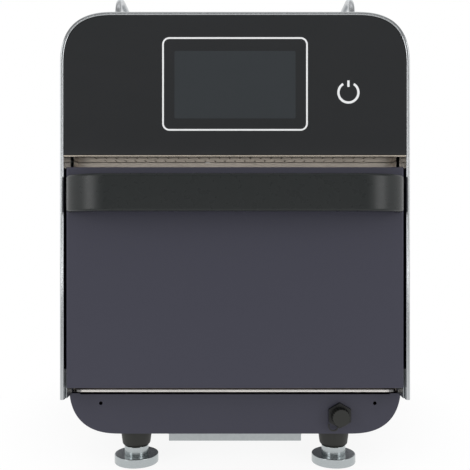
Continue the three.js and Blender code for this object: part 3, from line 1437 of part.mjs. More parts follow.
// Service port: hexagonal socket body through the base panel, ribbed cap and its tether.
{
  const at = [portX, returnDepth, portHeight];
  const toFront = (part) => part.rotate([90, 0, 0]).translate(at);
  const hexagon = rod(nutAcrossFlats / Math.sqrt(3), nutThickness, 6).translate([0, 0, seatGap]);
  const neckTop = nutThickness + socketNeck;
  const neck = rod(socketRadius, neckTop + socketLength, 20).translate([0, 0, -socketLength]);
  const mouth = rod(socketRadius - capWall, neckTop, 16).translate([0, 0, nutThickness]);
  place('port_socket', toFront(cut(join(hexagon, neck), mouth)), blackPlastic());

  const ringHeight = tetherThickness;
  const ringFloor = nutThickness + 2 * seatGap;
  const capFloor = ringFloor + ringHeight + seatGap;
  const flute = (2 * Math.PI * capRadius) / capFlutes / 4;
  const flutes = Array.from({ length: capFlutes }, (_, i) => rod(flute, 3 * capLength, 6)
    .translate([capRadius + flute - capFluteDepth, 0, 0]).rotate([0, 0, (360 * i) / capFlutes]));
  const cap = cut(
    rod(capRadius, capLength, 24).translate([0, 0, capFloor]),
    rod(socketRadius + seatGap, capLength - capWall, 20).translate([0, 0, capFloor - seatGap]),
    ...flutes,
  );
  place('port_cap', toFront(cap), blackPlastic());

  const ring = rod(capRadius - capFluteDepth, ringHeight).translate([0, 0, ringFloor]);
  const strapPath = Array.from({ length: tetherSteps + 1 }, (_, i) => {
    const turn = tetherStart + (tetherSweep * i) / tetherSteps;
    const middle = new THREE.Vector2(0, -tetherReach).rotateAround(new THREE.Vector2(), tetherAim);
    return middle.add(new THREE.Vector2(tetherLoop * Math.cos(turn), tetherLoop * Math.sin(turn)));
  });
  const thin = tetherThickness / 2;
  const strap = bentBar(strapPath, [
    [-thin, ringFloor], [thin, ringFloor], [thin, ringFloor + ringHeight],
    [-thin, ringFloor + ringHeight],
  ], alongZ);
  const hole = rod(socketRadius + seatGap, 4 * ringHeight).translate([0, 0, ringFloor
    - ringHeight]);
  place('port_tether', toFront(cut(join(ring, strap), hole)), blackPlastic());
}

// Feet: a fixed cup under each corner and a screwed foot with its neck and pad.
const footRows = [['front', footInset], ['rear', bodyDepth - footInset]];
{
  const top = baseBottom - seatGap;
  const floor = top - cupHeight;
  const cup = cut(
    turned([[0, floor], [cupBottomRadius - cupEdge, floor], [cupBottomRadius, floor + cupEdge],
      [cupTopRadius, top - cupEdge / 2], [cupTopRadius, top], [0, top]]),
    rod(stemRadius + 2 * seatGap, 3 * cupHeight, 16).translate([0, 0, floor - cupHeight]),
  );
  const neckTop = floor - seatGap;
  const foot = turned([
    [0, 0], [padRadius, 0],
    [padRadius, padThickness - padEdge], [padRadius - padEdge, padThickness],
    [neckRadius + neckFillet, padThickness],
    [neckRadius, padThickness + neckFillet],
    [neckRadius, neckTop],
    [stemRadius, neckTop], [stemRadius, top + 3 * seatGap], [0, top + 3 * seatGap],
  ]);
  for (const [row, y] of footRows) {
    for (const [name, side] of sides) {
      place(`foot_cup_${row}_${name}`, cup.translate([side * footX, y, 0]), blackPlastic());
      place(`foot_${row}_${name}`, foot.translate([side * footX, y, 0]), zincSteel());
    }
  }
}

// Top rails: bent round rod with a flanged foot at both ends.
{
  const top = bodyTop + railHeight - railRadius;
  const floor = bodyTop + seatGap;
  const backLeg = railFront + railLength;
  const points = [new THREE.Vector2(railFront, floor)];
  for (let i = 0; i <= railBendSteps; i += 1) {
    const angle = (i / railBendSteps) * (Math.PI / 2);
    points.push(new THREE.Vector2(
      railFront + railBend * (1 - Math.cos(angle)),
      top - railBend * (1 - Math.sin(angle)),
    ));
  }
  const route = [...points, ...points.toReversed().map(({ x, y }) => (
    new THREE.Vector2(railFront + backLeg - x, y)))];
  const bar = bentBar(route, ringPoints(railRadius, railSides), alongX);
  const foot = (y) => rod(railFootRadius, railFootThickness, 8).translate([0, y, floor]);
  const rail = join(bar, foot(railFront), foot(backLeg));
  for (const [name, side] of sides) {
    place(`rail_${name}`, rail.translate([side * railX, 0, 0]), chrome());
  }
}

// The oven stands with the middle of its floor plan at the origin.
oven.updateMatrixWorld(true);
const extent = new THREE.Box3().setFromObject(oven);
oven.position.y = -(extent.min.y + extent.max.y) / 2;

export default oven;
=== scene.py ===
"""The looks of a countertop speed oven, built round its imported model.

The front plane of the shell is depth 0, +X is the right side seen from the front and +Z is up.
Meshes are drawn in millimetres, with Y as the depth behind the front plane, and Workshop turns
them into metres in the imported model's frame.
"""

import json
import logging
import math
from collections.abc import Iterable, Sequence
from dataclasses import dataclass
from enum import Enum

import bmesh
import bpy
from bmesh.types import BMEdge, BMesh, BMFace, BMVert
from bpy.types import ID, Material, Mesh, Node, NodeSocket, NodeTree, Object, World
from mathutils import Matrix, Vector

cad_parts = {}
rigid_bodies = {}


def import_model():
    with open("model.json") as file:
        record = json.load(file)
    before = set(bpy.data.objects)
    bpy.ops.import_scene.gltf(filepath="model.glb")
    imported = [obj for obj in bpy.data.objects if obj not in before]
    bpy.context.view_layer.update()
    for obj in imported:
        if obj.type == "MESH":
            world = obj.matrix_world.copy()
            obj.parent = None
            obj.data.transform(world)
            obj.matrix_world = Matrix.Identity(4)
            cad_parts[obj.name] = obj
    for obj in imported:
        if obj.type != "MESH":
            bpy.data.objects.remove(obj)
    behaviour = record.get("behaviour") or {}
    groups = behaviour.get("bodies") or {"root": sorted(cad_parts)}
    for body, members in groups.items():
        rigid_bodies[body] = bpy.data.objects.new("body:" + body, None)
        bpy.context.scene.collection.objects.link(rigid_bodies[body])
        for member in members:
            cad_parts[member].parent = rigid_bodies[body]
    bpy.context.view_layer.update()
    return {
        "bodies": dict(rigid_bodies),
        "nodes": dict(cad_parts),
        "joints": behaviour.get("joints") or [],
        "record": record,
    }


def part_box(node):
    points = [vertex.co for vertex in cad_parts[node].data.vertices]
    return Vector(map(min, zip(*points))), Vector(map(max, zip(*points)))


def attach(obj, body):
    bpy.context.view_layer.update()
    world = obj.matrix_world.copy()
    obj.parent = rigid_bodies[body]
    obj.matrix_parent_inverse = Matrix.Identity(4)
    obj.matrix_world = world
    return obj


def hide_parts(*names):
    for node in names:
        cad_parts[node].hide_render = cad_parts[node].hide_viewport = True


MM = 0.001
TOUCHING = 0.001
FULL_TURN = 2 * math.pi
QUARTER_TURN = math.pi / 2
FRONT = Vector((0, -1, 0))
BACK = Vector((0, 1, 0))
UP = Vector((0, 0, 1))
WHITE = (1.0, 1.0, 1.0, 1.0)
SMOOTH = math.radians(32)
STEEP = math.radians(60)
FLAT = math.radians(0.6)
HINGE_DEPTH = 20
HINGE_HEIGHT = 112

Section = Sequence[tuple[float, float]]

log = logging.getLogger("speed_oven")


class Pattern(Enum):
    """What a finish's small variation is drawn with."""

    NOISE = "ShaderNodeTexNoise"
    CELLS = "ShaderNodeTexVoronoi"


def linear_color(hex_value: str) -> tuple[float, float, float, float]:
    """Turns an sRGB hex colour into linear light.

    Args:
        hex_value: The colour as "#rrggbb".

    Returns:
        Red, green, blue and an alpha of 1.
    """
    shares = [int(hex_value[i : i + 2], 16) / 255 for i in (1, 3, 5)]
    red, green, blue = (
        share / 12.92 if share <= 0.04045 else ((share + 0.055) / 1.055) ** 2.4 for share in shares
    )
    return red, green, blue, 1.0


def add_node(tree: NodeTree, kind: str, inputs: dict | None = None, **settings: object) -> Node:
    """Adds one node with its settings and its linked or fixed inputs.

    Args:
        tree: The node tree that gets the node.
        kind: The node's type name.
        inputs: Socket name or index to a value, or to another node's output socket.
        **settings: The node's own properties.

    Returns:
        The new node.
    """
    node = tree.nodes.new(kind)
    for name, value in settings.items():
        setattr(node, name, value)
    for name, value in (inputs or {}).items():
        if isinstance(value, NodeSocket):
            tree.links.new(value, node.inputs[name])
        else:
            node.inputs[name].default_value = value
    return node


def ranged(
    tree: NodeTree,
    value: NodeSocket,
    low: float,
    high: float,
    start: float = 0.0,
    end: float = 1.0,
    curve: str = "LINEAR",
) -> NodeSocket:
    """Carries a value from one range to another.

    Args:
        tree: The node tree that gets the node.
        value: The socket with the value.
        low: What the start of its range becomes.
        high: What the end of its range becomes.
        start: Where its range starts.
        end: Where its range ends.
        curve: How it goes from one to the other.

    Returns:
        The socket with the result.
    """
    inputs = {"Value": value, "From Min": start, "From Max": end, "To Min": low, "To Max": high}
    node = add_node(tree, "ShaderNodeMapRange", inputs, interpolation_type=curve)
    return node.outputs["Result"]


def combined(tree: NodeTree, operation: str, first: NodeSocket, second: NodeSocket) -> NodeSocket:
    """Works out one value from two.

    Args:
        tree: The node tree that gets the node.
        operation: The Math node's operation.
        first: The socket with the first value.
        second: The socket with the second value.

    Returns:
        The socket with the result.
    """
    node = add_node(tree, "ShaderNodeMath", {0: first, 1: second}, operation=operation)
    return node.outputs["Value"]


def fresh_tree(owner: Material | World) -> NodeTree:
    """Empties the node tree of a material or the world.

    Args:
        owner: The material or world.

    Returns:
        Its node tree.
    """
    owner.use_nodes = True
    owner.node_tree.nodes.clear()
    return owner.node_tree


def linked(name: str, data: ID) -> Object:
    """Makes an object and puts it in the scene.

    Args:
        name: The object's name.
        data: Its mesh, curve, lamp or camera.

    Returns:
        The object.
    """
    made = bpy.data.objects.new(name, data)
    bpy.context.scene.collection.objects.link(made)
    return made


def stored(name: str, mesh: BMesh) -> Mesh:
    """Turns a mesh into mesh data, and frees it.

    Args:
        name: The data's name.
        mesh: The mesh.

    Returns:
        The data.
    """
    data = bpy.data.meshes.new(name)
    mesh.to_mesh(data)
    mesh.free()
    return data


@dataclass(frozen=True)
class Finish:
    """A material and how its surface was made.

    Attributes:
        name: The finish's name.
        color: Its main sRGB colour.
        shade: The colour that its pattern leads to.
        metallic: 1 for bare metal.
        roughness: Lowest and highest roughness over the pattern.
        grain: The pattern's size along X, Y and Z, in millimetres.
        relief: The pattern's height, in millimetres.
        pattern: What the pattern is drawn with.
        detail: How many finer steps a noise pattern has.
        ior: The index of refraction of what isn't metal.
    """

    name: str
    color: str
    shade: str
    metallic: float = 0.0
    roughness: tuple[float, float] = (0.4, 0.5)
    grain: tuple[float, float, float] = (2.0, 2.0, 2.0)
    relief: float = 0.0
    pattern: Pattern = Pattern.NOISE
    detail: float = 3.0
    ior: float = 1.5

    def build(self) -> Material:
        """Builds the finish's material.

        Returns:
            The material, with its nodes linked.
        """
        material = bpy.data.materials.new(self.name)
        tree = fresh_tree(material)
        place_on = add_node(tree, "ShaderNodeTexCoord").outputs["Object"]
        scale = [1 / (size * MM) for size in self.grain]
        spread = add_node(tree, "ShaderNodeMapping", {"Vector": place_on, "Scale": scale})
        inputs = {"Vector": spread.outputs["Vector"], "Scale": 1.0}
        pattern = add_node(tree, self.pattern.value, inputs)
        if self.pattern is Pattern.NOISE:
            pattern.inputs["Detail"].default_value = self.detail
            drawn = pattern.outputs["Fac"]
        else:
            drawn = pattern.outputs["Distance"]
        colors = {"Factor": drawn, 6: linear_color(self.color), 7: linear_color(self.shade)}
        tint = add_node(tree, "ShaderNodeMix", colors, data_type="RGBA")
        surface = {
            "Base Color": tint.outputs[2],
            "Roughness": ranged(tree, drawn, *self.roughness),
            "Metallic": self.metallic,
            "IOR": self.ior,
        }
        shader = add_node(tree, "ShaderNodeBsdfPrincipled", surface)
        if self.relief:
            height = {"Height": drawn, "Distance": self.relief * MM, "Strength": 1.0}
            bump = add_node(tree, "ShaderNodeBump", height)
            tree.links.new(bump.outputs["Normal"], shader.inputs["Normal"])
        add_node(tree, "ShaderNodeOutputMaterial", {"Surface": shader.outputs["BSDF"]})
        return material


# Stainless sheet brushed from front to back: long fine scratches along the depth.
BRUSHED_STAINLESS = Finish(
    "brushed_stainless", "#c4c7c9", "#b9bcbe", 1.0, (0.1, 0.2), (0.35, 60, 0.35), 0.003
)
# Galvanised sheet of the filter tray: greyer and duller than the stainless above it.
GALVANISED = Finish(
    "galvanised_sheet", "#b0b5b6", "#a6abad", 1.0, (0.3, 0.42), (4, 4, 4), 0.002
)
# Plain mill-finish stainless: faintly warm, with a soft even haze.
MILL_STAINLESS = Finish(
    "mill_finish_stainless", "#c3beb7", "#b4aea6", 1.0, (0.22, 0.34), (40, 0.5, 0.5), 0.003
)
# Satin stainless of the frame round the door: an even haze with no grain to see.
SATIN_STAINLESS = Finish(
    "satin_stainless", "#b8b2ab", "#aea8a1", 1.0, (0.26, 0.34), (60, 20, 20), 0.0
)
# Bright-annealed stainless of the vent: warmer, and smooth enough to hand light on.
WARM_STAINLESS = Finish(
    "bright_annealed_stainless", "#efe5d6", "#e6dbca", 1.0, (0.05, 0.08), (60, 20, 20), 0.0
)
# Polished stainless of the sill's lip: a bright line under the door.
BRIGHT_STAINLESS = Finish(
    "polished_stainless", "#dedad6", "#d4d0cc", 1.0, (0.08, 0.14), (60, 20, 20), 0.0
)
# Stainless liner, seen inside the oven: brushed across and a little darker.
LINER_STAINLESS = Finish(
    "liner_stainless", "#b9b7b2", "#aaa8a3", 1.0, (0.24, 0.38), (50, 0.6, 0.6), 0.004
)
# Powder coat on steel: matt, blue-grey, with a fine orange peel.
POWDER_COAT = Finish(
    "blue_grey_powder_coat", "#363645", "#333342", 0.0, (0.42, 0.5), (0.9, 0.9, 0.9), 0.012
)
# Toughened glass painted black behind: mirror-smooth, its gloss changing very slightly.
BLACK_GLASS = Finish(
    "back_painted_glass", "#252728", "#28292b", 0.0, (0.05, 0.09), (60, 60, 30), 0.0, ior=1.4
)
# The unlit display behind the glass: a little lighter than the paint round it.
DARK_DISPLAY = Finish(
    "unlit_display", "#303437", "#33373a", 0.0, (0.08, 0.12), (90, 90, 60), 0.0, ior=1.4
)
# Screen-printed white ink: opaque and slightly matt.
WHITE_INK = Finish("white_screen_ink", "#ecedee", "#e6e7e8", 0.0, (0.4, 0.5), (1, 1, 1), 0.001)
# ABS moulded in polished tools: black, glossy, with the slightest waviness.
GLOSS_ABS = Finish(
    "black_gloss_abs", "#1a1e1e", "#1e2222", 0.0, (0.25, 0.31), (8, 8, 8), 0.004, ior=1.42
)
# Nylon moulded with a spark texture: black, dull, finely grained.
SPARKED_NYLON = Finish(
    "black_spark_nylon", "#232420", "#1c1d1a", 0.0, (0.5, 0.62), (0.5, 0.5, 0.5), 0.02
)
# Glass-filled nylon of the hexagonal socket: the same dull black, but darker.
FILLED_NYLON = Finish(
    "glass_filled_nylon", "#121312", "#161716", 0.0, (0.45, 0.6), (0.5, 0.5, 0.5), 0.02
)
# Nickel-plated turned steel: bright, with fine turning marks.
TURNED_NICKEL = Finish(
    "nickel_plated_steel", "#b9bfc0", "#aab0b2", 1.0, (0.18, 0.3), (9, 9, 0.3), 0.002
)
# Zinc-plated sheet: grey with a faint spangle.
ZINC_PLATE = Finish(
    "zinc_plated_sheet",
    "#b2b5b7",
    "#979b9e",
    1.0,
    (0.32, 0.48),
    (5, 5, 5),
    0.002,
    Pattern.CELLS,
)
# Chrome over polished rod: almost a mirror.
CHROME = Finish("polished_chrome", "#dfe2e4", "#d5d9dc", 1.0, (0.04, 0.1), (3, 20, 3), 0.0)
# Drawn stainless rod of the top rails: duller than chrome, with draw marks along it.
DRAWN_ROD = Finish(
    "drawn_stainless_rod", "#c6c8ca", "#b8bbbe", 1.0, (0.24, 0.36), (0.6, 30, 0.6), 0.003
)
# Mineral wool board: pale fibres pressed flat.
MINERAL_WOOL = Finish(
    "mineral_wool", "#c9b98c", "#a8966a", 0.0, (0.9, 1.0), (6, 0.7, 0.7), 0.4, detail=6.0
)
# Silicone rubber, extruded: grey and dull.
SILICONE = Finish("grey_silicone", "#66666a", "#5a5a5e", 0.0, (0.6, 0.7), (2, 2, 2), 0.01)
# Circuit board under solder mask: green with darker tracks.
SOLDER_MASK = Finish(
    "green_solder_mask",
    "#2f6543",
    "#1c4630",
    0.0,
    (0.3, 0.5),
    (3, 3, 3),
    0.05,
    Pattern.CELLS,
)
# Fired cordierite: off-white, matt, with tiny specks.
CERAMIC = Finish("fired_cordierite", "#e4ded0", "#d2cab9", 0.0, (0.55, 0.7), (0.8, 0.8, 0.8), 0.01)
# Varnished copper windings: brown-red with a wire's ribs.
WINDINGS = Finish(
    "varnished_copper", "#7c4527", "#532b18", 0.4, (0.3, 0.5), (40, 40, 0.9), 0.15
)
# Die-cast aluminium: pale grey with a sandy skin.
CAST_ALUMINIUM = Finish(
    "cast_aluminium", "#b5b8ba", "#9da1a3", 1.0, (0.42, 0.56), (0.7, 0.7, 0.7), 0.02
)


def block(mesh: BMesh, low: Vector, high: Vector) -> list[BMVert]:
    """Adds a box between two corners.

    Args:
        mesh: The mesh that gets the box.
        low: Its lowest corner.
        high: Its highest corner.

    Returns:
        The box's eight corners.
    """
    verts = bmesh.ops.create_cube(mesh, size=1.0)["verts"]
    bmesh.ops.scale(mesh, vec=high - low, verts=verts)
    bmesh.ops.translate(mesh, vec=(low + high) / 2, verts=verts)
    return verts


def round_edges(
    mesh: BMesh,
    geometry: list,
    radius: float,
    segments: int = 3,
    profile: float = 0.5,
    affect: str = "EDGES",
) -> None:
    """Rounds chosen edges, or the corners of a flat face.

    Args:
        mesh: The mesh.
        geometry: The edges or corners to round.
        radius: How far from each of them the round starts.
        segments: How many strips make the round.
        profile: 0.5 for a circle, more for a squarer curve.
        affect: "EDGES" or "VERTICES".
    """
    bmesh.ops.bevel(
        mesh,
        geom=geometry,
        offset=radius,
        offset_type="OFFSET",
        segments=segments,
        profile=profile,
        affect=affect,
        clamp_overlap=True,
        material=-1,
    )


def upright_edges(mesh: BMesh, axis: int, level: float) -> list[BMEdge]:
    """The edges that lie on one level of an axis and keep their X.

    Args:
        mesh: The mesh.
        axis: 1 for the depth, 2 for the height.
        level: Where they lie on it.

    Returns:
        Those edges.
    """
    return [
        edge
        for edge in mesh.edges
        if all(abs(vert.co[axis] - level) < TOUCHING for vert in edge.verts)
        and abs(edge.verts[0].co.x - edge.verts[1].co.x) < TOUCHING
    ]


def settle(mesh: BMesh) -> None:
    """Turns a mesh's faces outwards.

    Args:
        mesh: The mesh.
    """
    bmesh.ops.recalc_face_normals(mesh, faces=list(mesh.faces))


def merge(mesh: BMesh) -> None:
    """Merges the corners of a mesh that touch.

    Args:
        mesh: The mesh.
    """
    bmesh.ops.remove_doubles(mesh, verts=list(mesh.verts), dist=TOUCHING)


def soften(
    mesh: BMesh, radius: float, segments: int = 2, sharper_than: float = math.radians(28)
) -> None:
    """Rounds every closed edge of a mesh that is sharper than an angle.

    Args:
        mesh: The mesh.
        radius: The rounds' size.
        segments: How many strips make each round.
        sharper_than: The least angle between two faces for their edge to be rounded.
    """
    edges = [
        edge
        for edge in mesh.edges
        if len(edge.link_faces) == 2 and edge.calc_face_angle(0.0) > sharper_than
    ]
    round_edges(mesh, edges, radius, segments)


def facing(mesh: BMesh, direction: Vector) -> BMFace:
    """The largest face that looks one way.

    Args:
        mesh: The mesh.
        direction: The way that the face looks.

    Returns:
        That face.
    """
    mesh.normal_update()
    looking = [face for face in mesh.faces if face.normal.dot(direction) > 0.99]
    return max(looking, key=lambda face: face.calc_area())


def step_in(mesh: BMesh, face: BMFace, steps: Iterable[tuple[float, float]]) -> None:
    """Draws rings inside a face, each a step further in and out of its plane.

    Args:
        mesh: The mesh.
        face: The face, which stays the innermost one.
        steps: For each ring, how far it goes in and how far it rises.
    """
    for inward, rise in steps:
        bmesh.ops.inset_region(
            mesh,
            faces=[face],
            thickness=inward,
            depth=rise,
            use_even_offset=True,
            use_boundary=True,
        )


def cut_off(mesh: BMesh, point: Vector, away: Vector) -> None:
    """Cuts a mesh at a plane and drops what lies beyond it.

    Args:
        mesh: The mesh.
        point: A point on the plane.
        away: The plane's normal, towards what is dropped.
    """
    everything = [*mesh.verts, *mesh.edges, *mesh.faces]
    bmesh.ops.bisect_plane(
        mesh, geom=everything, plane_co=point, plane_no=away, clear_outer=True, dist=TOUCHING
    )


def keep_only(mesh: BMesh, face: BMFace) -> None:
    """Drops every face of a mesh but one.

    Args:
        mesh: The mesh.
        face: The face that stays.
    """
    others = [other for other in mesh.faces if other is not face]
    bmesh.ops.delete(mesh, geom=others, context="FACES")


def thicken(mesh: BMesh, direction: Vector) -> None:
    """Extrudes all of a flat mesh along a vector, and closes it.

    Args:
        mesh: The mesh, one or more flat faces.
        direction: How far and which way it grows.
    """
    grown = bmesh.ops.extrude_face_region(mesh, geom=list(mesh.faces))["geom"]
    verts = [item for item in grown if isinstance(item, BMVert)]
    bmesh.ops.translate(mesh, vec=direction, verts=verts)
    settle(mesh)


def fold_sheet(mesh: BMesh, thickness: float) -> None:
    """Gives an open surface its sheet thickness, on the side away from its normals.

    Args:
        mesh: The surface.
        thickness: The sheet's thickness.
    """
    bmesh.ops.solidify(mesh, geom=list(mesh.faces), thickness=thickness)
    settle(mesh)


def flat_outline(
    mesh: BMesh,
    low: tuple[float, float],
    high: tuple[float, float],
    radius: float = 0.0,
    segments: int = 6,
) -> BMFace:
    """Adds an upright rectangle at Y = 0 with round corners, looking to the front.

    Args:
        mesh: The mesh that gets it.
        low: Its lowest X and Z.
        high: Its highest X and Z.
        radius: The corners' radius.
        segments: How many edges make each corner.

    Returns:
        The rectangle's face.
    """
    corners = [(low[0], low[1]), (high[0], low[1]), (high[0], high[1]), (low[0], high[1])]
    verts = [mesh.verts.new((x, 0.0, z)) for x, z in corners]
    face = mesh.faces.new(verts)
    if radius:
        round_edges(mesh, verts, radius, segments, affect="VERTICES")
        mesh.faces.ensure_lookup_table()
        face = mesh.faces[-1]
    return face


def flat_ring(
    low: tuple[float, float], high: tuple[float, float], radius: float, segments: int, width: float
) -> BMesh:
    """An upright rectangular ring at Y = 0 with round corners, looking to the front.

    Args:
        low: Its lowest X and Z.
        high: Its highest X and Z.
        radius: The outer corners' radius.
        segments: How many edges make each corner.
        width: How wide the ring is.

    Returns:
        The ring.
    """
    mesh = bmesh.new()
    face = flat_outline(mesh, low, high, radius, segments)
    step_in(mesh, face, [(width, 0.0)])
    bmesh.ops.delete(mesh, geom=[face], context="FACES_ONLY")
    return mesh


def turned(profile: Section, segments: int = 72) -> BMesh:
    """Turns a profile round the Z axis.

    Args:
        profile: Points of [radius, height] that start and end on the axis.
        segments: How many facets go round.

    Returns:
        The closed turned mesh.
    """
    mesh = bmesh.new()
    verts = [mesh.verts.new((radius, 0.0, height)) for radius, height in profile]
    edges = [mesh.edges.new(pair) for pair in zip(verts, verts[1:])]
    bmesh.ops.spin(
        mesh,
        geom=[*verts, *edges],
        cent=(0, 0, 0),
        axis=(0, 0, 1),
        angle=FULL_TURN,
        steps=segments,
        use_merge=True,
    )
    merge(mesh)
    settle(mesh)
    return mesh


def swept(section: BMesh, stations: Sequence[tuple[Vector, float]]) -> BMesh:
    """Carries a flat section through stations in the XY plane, turning it about Z.

    Args:
        section: One face in the XZ plane, with its middle at the origin.
        stations: For each stop, its centre and the angle of the section's width from +X.

    Returns:
        The section's mesh, grown to the closed swept shape.
    """
    section.faces.ensure_lookup_table()
    end_cap = face = section.faces[0]
    here, angle = stations[0]
    place(section, Matrix.Translation(here) @ Matrix.Rotation(angle, 4, "Z"))
    for centre, turn in stations[1:]:
        grown = bmesh.ops.extrude_face_region(section, geom=[face])["geom"]
        moved = [item for item in grown if isinstance(item, BMVert)]
        if face is not end_cap:
            bmesh.ops.delete(section, geom=[face], context="FACES_ONLY")
        face = next(item for item in grown if isinstance(item, BMFace))
        turning = Matrix.Rotation(turn - angle, 3, "Z")
        bmesh.ops.rotate(section, verts=moved, cent=here, matrix=turning)
        bmesh.ops.translate(section, verts=moved, vec=centre - here)
        here, angle = centre, turn
    settle(section)
    return section


def absorb(mesh: BMesh, other: BMesh) -> None:
    """Moves another mesh's shapes into a mesh.

    Args:
        mesh: The mesh that gets them.
        other: The mesh that is emptied and freed.
    """
    carrier = bpy.data.meshes.new("carrier")
    other.to_mesh(carrier)
    other.free()
    mesh.from_mesh(carrier)
    bpy.data.meshes.remove(carrier)


def place(mesh: BMesh, matrix: Matrix) -> BMesh:
    """Puts a whole mesh where a matrix says.

    Args:
        mesh: The mesh.
        matrix: Where it goes.

    Returns:
        The same mesh.
    """
    bmesh.ops.transform(mesh, matrix=matrix, verts=list(mesh.verts))
    if matrix.determinant() < 0:
        bmesh.ops.reverse_faces(mesh, faces=list(mesh.faces))
    return mesh


class Workshop:
    """Turns meshes into the oven's pieces and keeps one material for each finish."""

    def __init__(self, frame: dict) -> None:
        """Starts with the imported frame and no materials.
        """
        self.frame = frame
        self.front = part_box("outer_shell")[0].y
        self.materials: dict[str, Material] = {}

    @property
    def to_frame(self) -> Matrix:
        """Takes millimetres behind the front plane to the frame's metres."""
        return Matrix.Translation((0, self.front, 0)) @ Matrix.Scale(MM, 4)

    def box(self, node: str) -> tuple[Vector, Vector]:
        """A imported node's box in millimetres behind the front plane.

        Args:
            node: The node's name.

        Returns:
            Its lowest and highest corners.
        """
        back = self.to_frame.inverted()
        low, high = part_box(node)
        return back @ low, back @ high

    def material(self, finish: Finish) -> Material:
        """The finish's material, built at its first use.

        Args:
            finish: The finish.

        Returns:
            Its one material.
        """
        if finish.name not in self.materials:
            self.materials[finish.name] = finish.build()
        return self.materials[finish.name]

    def piece(
        self,
        name: str,
        mesh: BMesh,
        finish: Finish,
        body: str,
        slot: str,
        stands_for: Sequence[str] = (),
        smooth: float = SMOOTH,
    ) -> Object:
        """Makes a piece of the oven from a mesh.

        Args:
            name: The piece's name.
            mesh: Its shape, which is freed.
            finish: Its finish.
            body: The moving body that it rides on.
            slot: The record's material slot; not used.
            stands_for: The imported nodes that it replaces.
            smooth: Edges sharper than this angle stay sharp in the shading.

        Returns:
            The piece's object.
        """
        open_edges = sum(1 for edge in mesh.edges if len(edge.link_faces) != 2)
        data = stored(name, place(mesh, self.to_frame))
        data.materials.append(self.material(finish))
        made = linked(name, data)
        self.shade(made, smooth)
        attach(made, body)
        if stands_for:
            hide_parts(*stands_for)
        log.info("%s: %d faces, %d open edges", name, len(data.polygons), open_edges)
        return made

    def shade(self, target: Object, smooth: float) -> None:
        """Shades a piece smooth, with its flat faces truly flat up to their rounds.

        Args:
            target: The piece.
            smooth: Edges sharper than this angle stay sharp.
        """
        target.data.shade_smooth()
        target.data.set_sharp_from_angle(angle=smooth)
        target.modifiers.new("even_shading", "WEIGHTED_NORMAL").keep_sharp = True

    def dress(self, finish: Finish, *nodes: str) -> None:
        """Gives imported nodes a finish.

        Args:
            finish: The finish.
            *nodes: The nodes that keep their shape and get it.
        """
        for node in nodes:
            data = self.frame["nodes"][node].data
            data.materials.clear()
            data.materials.append(self.material(finish))

    def eased_piece(
        self, name: str, node: str, radius: float, finish: Finish, body: str, slot: str
    ) -> None:
        """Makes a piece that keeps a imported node's shape, with its sharp edges rounded.

        Args:
            name: The piece's name.
            node: The node that it replaces.
            radius: The rounds' size.
            finish: Its finish.
            body: The moving body that it rides on.
            slot: The record's material slot.
        """
        mesh = bmesh.new()
        mesh.from_mesh(self.frame["nodes"][node].data)
        place(mesh, self.to_frame.inverted())
        merge(mesh)
        bmesh.ops.dissolve_limit(
            mesh,
            angle_limit=FLAT,
            verts=list(mesh.verts),
            edges=list(mesh.edges),
            use_dissolve_boundaries=False,
            delimit={"NORMAL"},
        )
        settle(mesh)
        soften(mesh, radius)
        self.piece(name, mesh, finish, body, slot, [node])

    def ease(self, target: Object, radius: float) -> None:
        """Rounds a finished piece's sharp edges with a bevel modifier.

        Args:
            target: The piece.
            radius: The rounds' size.
        """
        target.modifiers.clear()
        bevel = target.modifiers.new("eased_edges", "BEVEL")
        bevel.width = radius * MM
        bevel.segments = 2
        bevel.limit_method = "ANGLE"
        sharper_than = math.radians(40)
        bevel.angle_limit = sharper_than
        target.modifiers.new("even_shading", "WEIGHTED_NORMAL").keep_sharp = True

    def drill(self, target: Object, cutter: BMesh) -> None:
        """Cuts holes in a piece.

        Args:
            target: The piece.
            cutter: Closed shapes that pass through it, which are freed.
        """
        data = stored("cutter", place(cutter, self.to_frame))
        tool = linked("cutter", data)
        target.modifiers.clear()
        cut = target.modifiers.new("holes", "BOOLEAN")
        cut.operation = "DIFFERENCE"
        cut.solver = "EXACT"
        cut.object = tool
        bpy.context.view_layer.update()
        graph = bpy.context.evaluated_depsgraph_get()
        drilled = bpy.data.meshes.new_from_object(target.evaluated_get(graph))
        target.modifiers.clear()
        worn = target.data
        name = worn.name
        target.data = drilled
        bpy.data.meshes.remove(worn)
        drilled.name = name
        self.shade(target, SMOOTH)
        bpy.data.objects.remove(tool)
        bpy.data.meshes.remove(data)


def arc(
    centre: tuple[float, float], radius: float, start: float, end: float, steps: int = 6
) -> list[tuple[float, float]]:
    """The points of an arc in a turned profile.

    Args:
        centre: Its middle, as [radius, height].
        radius: Its radius.
        start: Its first angle, in degrees from the outward direction.
        end: Its last angle.
        steps: How many edges it has.

    Returns:
        The arc's points.
    """
    turns = [math.radians(start + (end - start) * i / steps) for i in range(steps + 1)]
    return [
        (centre[0] + radius * math.cos(turn), centre[1] + radius * math.sin(turn)) for turn in turns
    ]


